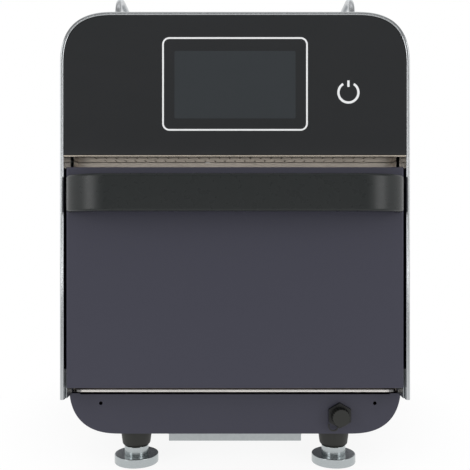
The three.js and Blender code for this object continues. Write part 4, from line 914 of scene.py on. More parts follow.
@dataclass(frozen=True)
class Arch:
    """The body's section: straight sides and two blended corners.

    Attributes:
        half: Half its width.
        top: The height of its flat side.
        corner: How far each corner reaches.
        exponent: The corners' superellipse exponent.
        steps: How many strips make each corner.
    """

    half: float
    top: float
    corner: float = 61.0
    exponent: float = 2.6
    steps: int = 28

    def bar(self, front: float, back: float, open_end: float) -> BMesh:
        """A solid bar of the arch's section.

        Args:
            front: Its front depth.
            back: Its back depth.
            open_end: The height of its other flat side.

        Returns:
            The bar.
        """
        mesh = bmesh.new()
        low, high = sorted((open_end, self.top))
        block(mesh, Vector((-self.half, front, low)), Vector((self.half, back, high)))
        profile = 2 ** (-2 / self.exponent)
        round_edges(mesh, upright_edges(mesh, 2, self.top), self.corner, self.steps, profile)
        return mesh

    def sheet(self, inset: float, span: tuple[float, float], open_end: float) -> BMesh:
        """A flat sheet of the arch's outline, drawn in by an even margin.

        Args:
            inset: The margin.
            span: Its front and back depths.
            open_end: The height where it is cut off.

        Returns:
            The closed sheet.
        """
        beyond = 3 * inset
        mesh = self.bar(span[0], span[1], open_end - beyond)
        front = facing(mesh, FRONT)
        step_in(mesh, front, [(inset, 0.0)])
        keep_only(mesh, front)
        thicken(mesh, BACK * (span[1] - span[0]))
        cut_off(mesh, UP * open_end, -UP)
        bmesh.ops.holes_fill(mesh, edges=[edge for edge in mesh.edges if edge.is_boundary])
        settle(mesh)
        return mesh


@dataclass(frozen=True)
class Assembly:
    """Pieces of the oven, or of the studio, that are built together.

    Attributes:
        shop: Where the pieces and their materials are made.
    """

    shop: Workshop


@dataclass(frozen=True)
class OuterShell(Assembly):
    """The folded stainless shell, the rear panel inside its flange and the two top rails.

    Attributes:
        arch: The shell's section.
        nose: The width of the rounded front edge.
        return_depth: How deep the sheet folds back inside the nose.
        sheet: The sheet's thickness.
        flange: The rear flange's width.
    """

    arch: Arch
    nose: float = 4.6
    return_depth: float = 31.0
    sheet: float = 1.2
    flange: float = 14.0

    def build(self) -> None:
        """Builds the sub-assembly."""
        self.build_sheet()
        self.build_rear()
        self.build_rails()

    def build_sheet(self) -> None:
        """Folds the shell: round nose, return flange inside it and rear flange."""
        low, high = self.shop.box("outer_shell")
        radius = self.nose / 2
        mesh = self.arch.bar(radius, high.y, low.z - 2 * self.flange)
        front = facing(mesh, FRONT)
        back = facing(mesh, BACK)
        steps = 12
        turns = [math.pi * i / steps for i in range(steps + 1)]
        rings = [
            (
                radius * (math.cos(here) - math.cos(there)),
                radius * (math.sin(there) - math.sin(here)),
            )
            for here, there in zip(turns, turns[1:])
        ]
        step_in(mesh, front, [*rings, (0.0, radius - self.return_depth)])
        step_in(mesh, back, [(self.flange, 0.0)])
        bmesh.ops.delete(mesh, geom=[front, back], context="FACES_ONLY")
        cut_off(mesh, UP * low.z, -UP)
        fold_sheet(mesh, self.sheet)
        self.shop.piece(
            "shell_sheet", mesh, BRUSHED_STAINLESS, "chassis", "shell_steel", ["outer_shell"]
        )

    def build_rear(self) -> None:
        """Eases the louvred rear panel's edges, and screws it down along them."""
        low, high = self.shop.box("rear_panel")
        self.shop.eased_piece(
            "rear_louvre_panel", "rear_panel", 0.25, MILL_STAINLESS, "chassis", "inner_steel"
        )
        clearance, sunk, rise, inset = 0.3, 0.02, 7, 22
        spread_shares, levels = (0.3, 0.8), (180, 300, 420)
        head_radius, head_height = 3.2, 1.1
        face = self.shop.box("outer_shell")[1].y - self.sheet - clearance
        sides = (-1, 1)
        spots = [(side * share * high.x, low.z + rise) for side in sides for share in spread_shares]
        spots += [(side * (high.x - inset), level) for side in sides for level in levels]
        screws = screws_at(spots, face - sunk, head_radius, head_height)
        self.shop.piece("rear_screws", screws, TURNED_NICKEL, "chassis", "inner_steel")

    def build_rails(self) -> None:
        """Bends both top rails from round rod, with a flanged foot at each end."""
        rod_radius, bend, foot_radius, foot_height = 4.0, 25.0, 9.0, 3.0
        edge, fillet, overlap, steps = 1.2, 1.5, 0.5, 12
        for name in ("rail_left", "rail_right"):
            low, high = self.shop.box(name)
            x = (low.x + high.x) / 2
            front, back = low.y + foot_radius, high.y - foot_radius
            top = high.z - rod_radius
            curve = [
                Vector((x, front + bend * (1 - math.cos(a)), top - bend * (1 - math.sin(a))))
                for a in (QUARTER_TURN * i / steps for i in range(steps + 1))
            ]
            mirrored = [Vector((x, front + back - p.y, p.z)) for p in reversed(curve)]
            route = [Vector((x, front, low.z)), *curve, *mirrored, Vector((x, back, low.z))]
            mesh = tube(route, rod_radius, 24)
            for depth in (front, back):
                profile = [
                    (0, 0),
                    (foot_radius, 0),
                    *arc((foot_radius - edge, foot_height - edge), edge, 0, 90, 4),
                    *arc((rod_radius + fillet, foot_height + fillet), fillet, 270, 180, 4),
                    (rod_radius - overlap, foot_height + fillet),
                    (0, foot_height + fillet),
                ]
                flange = turned(profile, 48)
                absorb(mesh, place(flange, Matrix.Translation((x, depth, low.z))))
            self.shop.piece(f"{name}_rod", mesh, DRAWN_ROD, "chassis", "chrome_steel", [name])


def round_pin(radius: float, low: float, high: float) -> BMesh:
    """A round pin along +Z, to cut a hole with.

    Args:
        radius: Its radius.
        low: The height of its lower end.
        high: The height of its upper end.

    Returns:
        The pin.
    """
    return turned([(0, low), (radius, low), (radius, high), (0, high)], 32)


def screws_at(
    spots: Iterable[tuple[float, float]], depth: float, radius: float, height: float
) -> BMesh:
    """Screws that look to the back, each a pan head with a round recess.

    Args:
        spots: Each screw's X and height.
        depth: The depth that the heads start at.
        radius: The heads' radius.
        height: The heads' height.

    Returns:
        A mesh of all the heads.
    """
    rim_share, round_share, mouth_share, floor_share = 0.3, 0.7, 0.3, 0.22
    corner_share, bottom_share = 0.45, 0.4
    rim, bend = height * rim_share, height * round_share
    profile = [(0, 0), (radius, 0), (radius, rim), *arc((radius - bend, rim), bend, 0, 90, 4)]
    profile += [(radius * mouth_share, height), (radius * floor_share, height * corner_share)]
    profile += [(0, height * bottom_share)]
    mesh = bmesh.new()
    for x, z in spots:
        at = Matrix.Translation((x, depth, z)) @ Matrix.Rotation(-QUARTER_TURN, 4, "X")
        absorb(mesh, place(turned(profile, 24), at))
    return mesh


def facing_front(x: float, depth: float, z: float) -> Matrix:
    """Takes a shape that looks up +Z to a place where it looks to the front.

    Args:
        x: The place's X.
        depth: Its depth.
        z: Its height.

    Returns:
        The matrix.
    """
    return Matrix.Translation((x, depth, z)) @ Matrix.Rotation(QUARTER_TURN, 4, "X")


def tube(route: Sequence[Vector], radius: float, sides: int = 12, closed: bool = False) -> BMesh:
    """A round rod that follows a route.

    Args:
        route: The points that its middle passes through.
        radius: Its radius.
        sides: How many facets go round it.
        closed: Whether its end joins its start.

    Returns:
        The rod's mesh.
    """
    curve = bpy.data.curves.new("route", "CURVE")
    curve.dimensions = "3D"
    curve.bevel_depth = radius
    curve.bevel_resolution = max(sides // 4 - 1, 0)
    curve.use_fill_caps = not closed
    spline = curve.splines.new("POLY")
    spline.points.add(len(route) - 1)
    for point, place_on in zip(spline.points, route):
        point.co = (*place_on, 1.0)
    spline.use_cyclic_u = closed
    holder = linked("route", curve)
    graph = bpy.context.evaluated_depsgraph_get()
    data = bpy.data.meshes.new_from_object(holder.evaluated_get(graph))
    mesh = bmesh.new()
    mesh.from_mesh(data)
    merge(mesh)
    settle(mesh)
    bpy.data.objects.remove(holder)
    bpy.data.curves.remove(curve)
    bpy.data.meshes.remove(data)
    return mesh


@dataclass(frozen=True)
class ControlPanel(Assembly):
    """The glass fascia with its printed line, display and power symbol, over the vent panel.

    Attributes:
        arch: The shell's section, which the glass fills.
        margin: How far the glass stays inside the shell.
        line_size: The outer width and height of the printed line.
        line_height: The height of its middle.
        line_width: How wide the line is.
        screen_size: The display's width and height.
        screen_height: The height of its middle.
        ink: How thick the printed layers are.
        symbol_at: The power symbol's X and height.
    """

    arch: Arch
    margin: float = 4.9
    line_size: tuple[float, float] = (161.8, 103.9)
    line_height: float = 439.2
    line_width: float = 1.9
    screen_size: tuple[float, float] = (134.5, 75.0)
    screen_height: float = 438.4
    ink: float = 0.08
    symbol_at: tuple[float, float] = (126.0, 429.7)

    def build(self) -> None:
        """Builds the sub-assembly."""
        self.build_glass()
        self.build_line()
        self.build_screen()
        self.build_symbol()
        self.build_vents()

    def print_on(self, name: str, mesh: BMesh, finish: Finish, raised: float) -> None:
        """Puts a flat figure on the glass as a thin layer.

        Args:
            name: The piece's name.
            mesh: The figure, flat at depth 0.
            finish: Its finish.
            raised: How far it stands in front of the glass.
        """
        bite = 0.02
        thicken(mesh, BACK * (raised + bite))
        place(mesh, Matrix.Translation(FRONT * raised))
        self.shop.piece(name, mesh, finish, "chassis", "fascia_glass")

    def build_glass(self) -> None:
        """Cuts the glass and polishes its rim."""
        low, high = self.shop.box("control_fascia")
        mesh = self.arch.sheet(self.margin, (low.y, high.y), low.z)
        rim_radius = 0.5
        round_edges(mesh, list(facing(mesh, FRONT).edges), rim_radius, 3)
        self.shop.piece(
            "fascia_sheet", mesh, BLACK_GLASS, "chassis", "fascia_glass", ["control_fascia"]
        )

    def build_line(self) -> None:
        """Prints the rounded line round the display."""
        half, tall = self.line_size[0] / 2, self.line_size[1] / 2
        corner, steps = 8.0, 10
        low, high = self.line_height - tall, self.line_height + tall
        mesh = flat_ring((-half, low), (half, high), corner, steps, self.line_width)
        self.print_on("screen_line", mesh, WHITE_INK, self.ink)

    def build_screen(self) -> None:
        """Lays the unlit display's window on the glass."""
        half, tall = self.screen_size[0] / 2, self.screen_size[1] / 2
        corner, raised = 1.5, 0.05
        low, high = self.screen_height - tall, self.screen_height + tall
        mesh = bmesh.new()
        flat_outline(mesh, (-half, low), (half, high), corner)
        self.print_on("screen_window", mesh, DARK_DISPLAY, raised)

    def build_symbol(self) -> None:
        """Prints the power symbol: a ring that is open at the top, and a bar in the gap."""
        outer, line, gap = 12.4, 2.6, math.radians(33)
        bar_corner, reach_share = 0.4, 1.08
        x, z = self.symbol_at
        mesh = bmesh.new()
        bmesh.ops.create_circle(mesh, cap_ends=True, radius=outer, segments=90)
        mesh.faces.ensure_lookup_table()
        face = mesh.faces[0]
        step_in(mesh, face, [(line, 0.0)])
        dropped = [face]
        for ring in mesh.faces:
            middle = ring.calc_center_median()
            if ring is not face and abs(math.atan2(middle.x, middle.y)) < gap:
                dropped.append(ring)
        bmesh.ops.delete(mesh, geom=dropped, context="FACES_ONLY")
        loose = [vert for vert in mesh.verts if not vert.link_faces]
        bmesh.ops.delete(mesh, geom=loose, context="VERTS")
        place(mesh, facing_front(x, 0.0, z))
        bar = bmesh.new()
        foot, head = z + outer / 2, z + reach_share * outer
        flat_outline(bar, (x - line / 2, foot), (x + line / 2, head), bar_corner)
        absorb(mesh, bar)
        self.print_on("power_symbol", mesh, WHITE_INK, self.ink)

    def build_vents(self) -> None:
        """Folds the vent panel: a hemmed lip, a slotted underside and the bulkhead behind."""
        low, high = self.shop.box("vent_panel")
        sheet, lip_depth, lip_height, bulkhead, edge = 1.2, 5.0, 1.8, 1.4, 0.5
        mesh = solid_blocks([
            (low, (high.x, low.y + lip_depth, low.z + lip_height)),
            ((low.x, high.y - bulkhead, low.z), high),
        ])
        soften(mesh, edge, 3)
        plate = bmesh.new()
        start = Vector((low.x, low.y + lip_depth / 2, low.z))
        block(plate, start, Vector((high.x, high.y - bulkhead / 2, low.z + sheet)))
        absorb(mesh, plate)
        made = self.shop.piece(
            "vent_sheet", mesh, WARM_STAINLESS, "chassis", "inner_steel", ["vent_panel"]
        )
        pitch, width, length, row_front, row_pitch, field = 11.7, 1.3, 15.0, 15.0, 30.0, 330.0
        reach = 3 * sheet
        cutter = bmesh.new()
        for row in range(2):
            count = int(field / pitch) - row
            for i in range(count):
                x = (i - (count - 1) / 2) * pitch
                slot = bmesh.new()
                flat_outline(slot, (-width / 2, -length / 2), (width / 2, length / 2), width / 2)
                thicken(slot, BACK * 2 * reach)
                at = facing_front(x, row_front + row * row_pitch, low.z - reach)
                absorb(cutter, place(slot, at))
        self.shop.drill(made, cutter)


@dataclass(frozen=True)
class Base(Assembly):
    """The painted base pan with its curved lower corners, and the filter tray in its runners.

    Attributes:
        front_top: The height of the front panel's top edge.
        sheet: The sheet's thickness.
    """

    front_top: float = 87.0
    sheet: float = 1.2

    def build(self) -> None:
        """Builds the sub-assembly."""
        self.build_pan()
        self.build_runners()
        self.build_tray()

    def build_pan(self) -> None:
        """Folds the pan, and cuts its front bay, intake and holes."""
        low, high = self.shop.box("base_pan")
        floor, beyond, bay_back, seam, edge, tab_inset = 41.2, 2.0, 42.9, 1.2, 0.5, 13.0
        tab = high.x - tab_inset
        intake = ((-60, 75), (60, 235))
        hole_radius, hole_drop, stem_radius, reach = 2, 10.5, 6.6, 4
        hole_columns, foot_columns, foot_depths = (-155.5, 162.0), (-118, 118), (58, 582)
        arch = Arch(high.x, floor)
        mesh = arch.bar(low.y, high.y, high.z)
        bmesh.ops.delete(mesh, geom=[facing(mesh, UP)], context="FACES_ONLY")
        fold_sheet(mesh, self.sheet)
        made = self.shop.piece(
            "base_sheet", mesh, POWDER_COAT, "chassis", "dark_paint", ["base_pan"]
        )
        ahead, above, side = low.y - beyond, high.z + beyond, high.x + beyond
        bay = ((-side, ahead, self.front_top + seam), (side, bay_back, above))
        mouth = ((-tab, ahead, self.front_top), (tab, bay_back, above))
        self.shop.drill(made, solid_blocks([bay]))
        vent = tuple((*spot, floor + z) for spot, z in zip(intake, (-beyond, beyond)))
        self.shop.drill(made, solid_blocks([mouth, vent]))
        cutter = bmesh.new()
        for x in hole_columns:
            hole = round_pin(hole_radius, -reach, reach)
            absorb(cutter, place(hole, facing_front(x, low.y, self.front_top - hole_drop)))
        for x in foot_columns:
            for depth in foot_depths:
                hole = round_pin(stem_radius, -reach, reach)
                absorb(cutter, place(hole, Matrix.Translation((x, depth, floor))))
        self.shop.drill(made, cutter)
        self.shop.ease(made, edge)

    def build_runners(self) -> None:
        """Bends the two runners that carry the tray."""
        low, _ = self.shop.box("base_pan")
        web, reach, lip, front, back, top, edge = 77.3, 78.5, 5, 48.4, 262, 41.5, 0.3
        spans = []
        for side in (-1, 1):
            for inside, upper in ((web, top), (web - lip, low.z + self.sheet)):
                left, right = sorted((side * inside, side * reach))
                spans.append(((left, front, low.z), (right, back, upper)))
        mesh = solid_blocks(spans)
        soften(mesh, edge)
        self.shop.piece("tray_runners", mesh, POWDER_COAT, "chassis", "dark_paint")

    def build_tray(self) -> None:
        """Eases the edges of the filter tray, and gives its mesh a finish."""
        self.shop.eased_piece(
            "filter_pan", "filter_tray", 0.3, GALVANISED, "air_filter", "inner_steel"
        )
        self.shop.dress(ZINC_PLATE, "filter_mesh")


def solid_blocks(spans: Iterable[tuple[Sequence[float], Sequence[float]]]) -> BMesh:
    """Boxes between pairs of corners.

    Args:
        spans: The boxes' lowest and highest corners.

    Returns:
        A mesh of all of them.
    """
    mesh = bmesh.new()
    for low, high in spans:
        block(mesh, Vector(low), Vector(high))
    return mesh


@dataclass(frozen=True)
class Door(Assembly):
    """The drop-down door: painted pan, pressed inner panel, gasket and hinges.

    Attributes:
        edge: The radius of the pan's upright edges.
        sheet: The pan's sheet thickness.
    """

    edge: float = 3.0
    sheet: float = 1.2

    def build(self) -> None:
        """Builds the sub-assembly."""
        self.build_pan()
        self.build_inner_panel()
        self.build_gasket()
        self.build_hinges()
        self.shop.dress(MINERAL_WOOL, "door_insulation")

    def build_pan(self) -> None:
        """Presses the pan with its rounded edges and pierces it for the hinge pins."""
        low, high = self.shop.box("door_skin")
        rim_radius, rear_margin, pin_radius, beyond = 0.8, 1, 4.6, 5
        mesh = bmesh.new()
        block(mesh, low, high)
        round_edges(mesh, upright_edges(mesh, 1, low.y), self.edge, 8)
        rim = [edge for edge in mesh.edges if edge.calc_face_angle(0.0) > STEEP]
        before = high.y - rear_margin
        front_rim = [edge for edge in rim if max(vert.co.y for vert in edge.verts) < before]
        round_edges(mesh, front_rim, rim_radius, 3)
        bmesh.ops.delete(mesh, geom=[facing(mesh, BACK)], context="FACES_ONLY")
        fold_sheet(mesh, self.sheet)
        made = self.shop.piece("door_pan", mesh, POWDER_COAT, "door", "dark_paint", ["door_skin"])
        pin = round_pin(pin_radius, low.x - beyond, high.x + beyond)
        turn = Matrix.Rotation(QUARTER_TURN, 4, "Y")
        at = Matrix.Translation((0, HINGE_DEPTH, HINGE_HEIGHT))
        self.shop.drill(made, place(pin, at @ turn))

    def build_inner_panel(self) -> None:
        """Presses the inner panel's choke groove and shallow field, and adds pins and screws."""
        low, high = self.shop.box("door_inner_panel")
        skin = self.shop.box("door_skin")[1]
        forward = 10
        face_depth = skin.y + forward
        edge, pin_edge, sunk = 0.6, 0.8, 0.05
        pin_x, pin_drop, pin_half, pin_root = 176, 31, 3, 8
        columns, inset, head_radius, head_height = (-168, -60, 60, 168), 4, 2.6, 0.9
        mesh = bmesh.new()
        block(mesh, low, Vector((high.x, face_depth, high.z)))
        face = facing(mesh, BACK)
        choke = [(8.0, 0.0), (1.0, -7.0), (14.0, 0.0), (1.0, 7.0)]
        field = [(16.0, 0.0), (3.0, -2.0)]
        step_in(mesh, face, [*choke, *field])
        soften(mesh, edge)
        pins = bmesh.new()
        for side in (-1, 1):
            middle = Vector((side * pin_x, 0, high.z - pin_drop))
            reach = Vector((pin_half, 0, pin_half))
            start, end = middle - reach, middle + reach
            start.y, end.y = face_depth - pin_root, high.y
            block(pins, start, end)
        soften(pins, pin_edge)
        absorb(mesh, pins)
        self.shop.piece(
            "door_liner", mesh, LINER_STAINLESS, "door", "inner_steel", ["door_inner_panel"]
        )
        spots = [(x, z) for x in columns for z in (low.z + inset, high.z - inset)]
        screws = screws_at(spots, face_depth - sunk, head_radius, head_height)
        self.shop.piece("door_screws", screws, TURNED_NICKEL, "door", "inner_steel")

    def build_gasket(self) -> None:
        """Extrudes the gasket's ring with its round corners and soft edges."""
        low, high = self.shop.box("door_gasket")
        width, corner, edge = 9.0, 12.0, 2.2
        mesh = flat_ring((low.x, low.z), (high.x, high.z), corner, 8, width)
        place(mesh, Matrix.Translation(BACK * low.y))
        thicken(mesh, BACK * (high.y - low.y))
        soften(mesh, edge, 4, STEEP)
        self.shop.piece("gasket_ring", mesh, SILICONE, "door", "seal", ["door_gasket"])

    def build_hinges(self) -> None:
        """Eases the brackets and leaves, and winds both springs from round wire."""
        for side, name in ((-1, "left"), (1, "right")):
            for part, body in (("bracket", "chassis"), ("leaf", "door")):
                self.shop.eased_piece(
                    f"{part}_{name}", f"hinge_{part}_{name}", 0.25, ZINC_PLATE, body, "zinc_steel"
                )
            low, high = self.shop.box(f"door_spring_{name}")
            outer = high.x if side > 0 else low.x
            inner = low.x if side > 0 else high.x
            wire, coil, turns, turn_steps = 0.8, 6.6, 3, 24
            start, end = inner + side * wire, outer - side * wire
            steps = turn_steps * turns
            route = [
                Vector((
                    start + (end - start) * i / steps,
                    HINGE_DEPTH + coil * math.cos(FULL_TURN * turns * i / steps),
                    HINGE_HEIGHT + coil * math.sin(FULL_TURN * turns * i / steps),
                ))
                for i in range(steps + 1)
            ]
            route.append(Vector((end, HINGE_DEPTH + coil, high.z)))
            spring = tube(route, wire, 12)
            self.shop.piece(
                f"spring_{name}", spring, CHROME, "door", "zinc_steel", [f"door_spring_{name}"]
            )


@dataclass(frozen=True)
class Handle(Assembly):
    """The moulded handle: a flat band, straight in the middle and swept back at both ends.

    Attributes:
        thickness: The band's thickness.
        edge: The radius of its long edges.
        sweep: How far along the width each end takes to turn back.
        steps: How many stations each end has.
    """

    thickness: float = 9.0
    edge: float = 3.0
    sweep: float = 58.5
    steps: int = 20

    def build(self) -> None:
        """Moulds the band in one sweep from end to end."""
        low, high = self.shop.box("handle")
        thick = self.thickness / 2
        middle = (low.z + high.z) / 2
        front = low.y + thick
        back = -0.7
        straight = high.x - thick - self.sweep
        right = []
        for i in range(self.steps + 1):
            turn = QUARTER_TURN * i / self.steps
            reach = self.sweep * math.sin(turn)
            depth = back + (front - back) * math.cos(turn)
            slope = math.atan2((back - front) * math.sin(turn), self.sweep * math.cos(turn))
            right.append((Vector((straight + reach, depth, middle)), QUARTER_TURN + slope))
        right.append((Vector((straight + self.sweep, high.y, middle)), math.pi))
        left = [
            (Vector((-spot.x, spot.y, spot.z)), math.pi - turn) for spot, turn in reversed(right)
        ]
        section = bmesh.new()
        tall = (high.z - low.z) / 2
        flat_outline(section, (-thick, -tall), (thick, tall), self.edge, 6)
        mesh = swept(section, [*left, *right])
        self.shop.piece("handle_band", mesh, GLOSS_ABS, "door", "black_plastic", ["handle"])


@dataclass(frozen=True)
class DoorFrame(Assembly):
    """The stainless frame that the door closes on, and the oven's liner behind it."""

    def build(self) -> None:
        """Builds the sub-assembly."""
        rows = [
            ("face_frame", "front_frame", SATIN_STAINLESS, "inner_steel", 0.1),
            ("cavity_box", "cavity_liner", LINER_STAINLESS, "inner_steel", 0.5),
            ("jet_plate", "air_jet_plate", LINER_STAINLESS, "inner_steel", 0.3),
            ("fan_baffle", "return_air_baffle", LINER_STAINLESS, "inner_steel", 0.3),
            ("ceramic_floor", "ceramic_plate", CERAMIC, "ceramic_plate", 0.8),
        ]
        for node, name, finish, slot, radius in rows:
            self.shop.eased_piece(name, node, radius, finish, "chassis", slot)
        self.build_sill()
        self.build_rack()

    def build_sill(self) -> None:
        """Folds the sill and cheeks, with a lip in front that leans back to catch the light."""
        low, high = self.shop.box("door_surround")
        sheet, lip_height, lean, edge = 0.9, 2.95, math.radians(13), 0.25
        floor = low.z + sheet
        mesh = bmesh.new()
        outline = [
            (low.x, low.z),
            (high.x, low.z),
            (high.x, high.z),
            (high.x - sheet, high.z),
            (high.x - sheet, floor),
            (low.x + sheet, floor),
            (low.x + sheet, high.z),
            (low.x, high.z),
        ]
        mesh.faces.new([mesh.verts.new((x, low.y, z)) for x, z in outline])
        thicken(mesh, BACK * (high.y - low.y))
        soften(mesh, edge)
        self.shop.piece(
            "sill_and_cheeks", mesh, SATIN_STAINLESS, "chassis", "inner_steel", ["door_surround"]
        )
        top = arc((sheet / 2, lip_height - sheet / 2), sheet / 2, 180, 0, 8)
        section = [(0.0, 0.0), *top, (sheet, 0.0)]
        lip = bmesh.new()
        lip.faces.new([lip.verts.new((0.0, depth, z)) for depth, z in section])
        thicken(lip, Vector((high.x - low.x - 2 * sheet, 0, 0)))
        stand = Matrix.Translation((low.x + sheet, low.y, floor))
        place(lip, stand @ Matrix.Rotation(-lean, 4, "X"))
        self.shop.piece("sill_lip", lip, BRIGHT_STAINLESS, "chassis", "inner_steel")

    def build_rack(self) -> None:
        """Welds the rack: a round frame rod with thinner bars from front to back inside it."""
        low, high = self.shop.box("wire_rack")
        rod, bar_share, bars, corner, steps = 2.5, 0.8, 9, 14.0, 8
        level = high.z - rod
        mesh = bmesh.new()
        inner = (Vector((low.x + rod, low.y + rod, 0)), Vector((high.x - rod, high.y - rod, 0)))
        route = []
        turns = ((1, 1, 0), (0, 1, 90), (0, 0, 180), (1, 0, 270))
        for right, back, start in turns:
            centre = Vector((
                inner[right].x + (corner if not right else -corner),
                inner[back].y + (corner if not back else -corner),
                level,
            ))
            for i in range(steps + 1):
                turn = math.radians(start + 90 * i / steps)
                route.append(centre + corner * Vector((math.cos(turn), math.sin(turn), 0)))
        absorb(mesh, tube(route, rod, 16, closed=True))
        for i in range(1, bars + 1):
            x = inner[0].x + (inner[1].x - inner[0].x) * i / (bars + 1)
            ends = [Vector((x, inner[0].y, level)), Vector((x, inner[1].y, level))]
            absorb(mesh, tube(ends, bar_share * rod, 12))
        self.shop.piece("rack_rods", mesh, CHROME, "chassis", "chrome_steel", ["wire_rack"])


@dataclass(frozen=True)
class ServicePort(Assembly):
    """The hexagonal socket in the base panel, its ribbed cap and the cap's tether.

    Attributes:
        ribs: How many ribs the cap has.
    """

    ribs: int = 20

    def build(self) -> None:
        """Builds the sub-assembly."""
        rows = [
            ("socket_body", "port_socket", 0.5, FILLED_NYLON, "chassis"),
            ("tether_strap", "port_tether", 0.3, SPARKED_NYLON, "tether"),
        ]
        for row in rows:
            self.shop.eased_piece(*row, "matte_black")
        self.build_cap()

    def build_cap(self) -> None:
        """Turns the cap, and leaves ribs by drawing every third line of its side inwards."""
        low, high = self.shop.box("port_cap")
        radius, length, wall = (high.x - low.x) / 2, high.y - low.y, 1.6
        bore, edge, groove, band, skirt = 8.3, 1.4, 1.4, 0.5, 0.8
        strips = 3 * self.ribs
        profile = [
            (0, wall),
            (bore, wall),
            (bore, 0),
            (radius, 0),
            (radius, length - wall),
            *arc((radius - edge, length - edge), edge, 0, 90, 4),
            (0, length),
        ]
        mesh = turned(profile, strips)
        for vert in mesh.verts:
            outward = Vector((vert.co.x, vert.co.y, 0))
            strip = round(math.atan2(vert.co.y, vert.co.x) / FULL_TURN * strips)
            if outward.length > radius - band and strip % 3 == 0 and vert.co.z > skirt:
                vert.co -= outward.normalized() * groove
        centre = (low + high) / 2
        place(mesh, facing_front(centre.x, high.y, centre.z))
        smooth = math.radians(24)
        self.shop.piece(
            "ribbed_cap", mesh, SPARKED_NYLON, "cap", "matte_black", ["port_cap"], smooth
        )


@dataclass(frozen=True)
class Foot(Assembly):
    """One levelling foot: a moulded cup under the pan and a turned foot with a plain stem.

    Attributes:
        row: "front" or "rear".
        side: "left" or "right".
    """

    row: str
    side: str

    def build(self) -> None:
        """Builds the cup and the foot."""
        low, high = self.shop.box(f"foot_cup_{self.row}_{self.side}")
        at = Matrix.Translation(((low.x + high.x) / 2, (low.y + high.y) / 2, 0))
        floor, top = low.z, high.z
        cup_radius = (high.x - low.x) / 2
        bore, bottom_inset, bottom_round, top_round = 6.6, 5.6, 3.5, 0.8
        cup = [
            (bore, floor),
            *arc((cup_radius - bottom_inset, floor + bottom_round), bottom_round, 270, 350, 6),
            *arc((cup_radius - top_round, top - top_round), top_round, 0, 90, 3),
            (bore, top),
            (bore, floor),
        ]
        self.shop.piece(
            f"cup_{self.row}_{self.side}",
            place(turned(cup), at),
            SPARKED_NYLON,
            "chassis",
            "matte_black",
            [f"foot_cup_{self.row}_{self.side}"],
        )
        pad, thick, neck, groove, stem = 26.0, 10.5, 14.2, 0.7, 6.0
        edge, sole, neck_edge, neck_gap, stem_gap = 0.9, 1.2, 0.8, 1.1, 0.3
        top = self.shop.box(f"foot_{self.row}_{self.side}")[1].z
        foot = [
            (0, 0),
            *arc((pad - sole, sole), sole, 270, 360, 3),
            *arc((pad - edge, thick - edge), edge, 0, 90, 6),
            (neck - groove, thick),
            (neck - groove, thick + groove),
            *arc((neck - groove, thick + 2 * groove), groove, 270, 360, 4),
            *arc((neck - neck_edge, floor - neck_gap), neck_edge, 0, 90, 3),
            (stem, floor - stem_gap),
            (stem, top),
            (0, top),
        ]
        self.shop.piece(
            f"levelling_{self.row}_{self.side}",
            place(turned(foot, 96), at),
            TURNED_NICKEL,
            f"{self.row}_{self.side}_foot",
            "zinc_steel",
            [f"foot_{self.row}_{self.side}"],
        )


@dataclass(frozen=True)
class Machinery(Assembly):
    """What lies behind the panels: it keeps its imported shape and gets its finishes."""

    def build(self) -> None:
        """Dresses every hidden piece."""
        dressed = {
            ZINC_PLATE: (
                *("fascia_carrier", "hot_air_duct", "fan_housing", "waveguide"),
                *("cavity_cradle", "component_shelf", "hv_capacitor"),
            ),
            SPARKED_NYLON: (
                *("display_module", "interlock_switches", "cable_gland"),
                *("cooling_fan_frame", "cooling_fan_rotor"),
            ),
            SOLDER_MASK: ("control_board", "power_board"),
            MINERAL_WOOL: ("cavity_insulation",),
            CAST_ALUMINIUM: ("fan_motor", "stirrer_motor", "magnetron"),
            WINDINGS: ("hv_transformer",),
            LINER_STAINLESS: ("convection_fan", "heater_coil", "mode_stirrer"),
        }
        for finish, nodes in dressed.items():
            self.shop.dress(finish, *nodes)


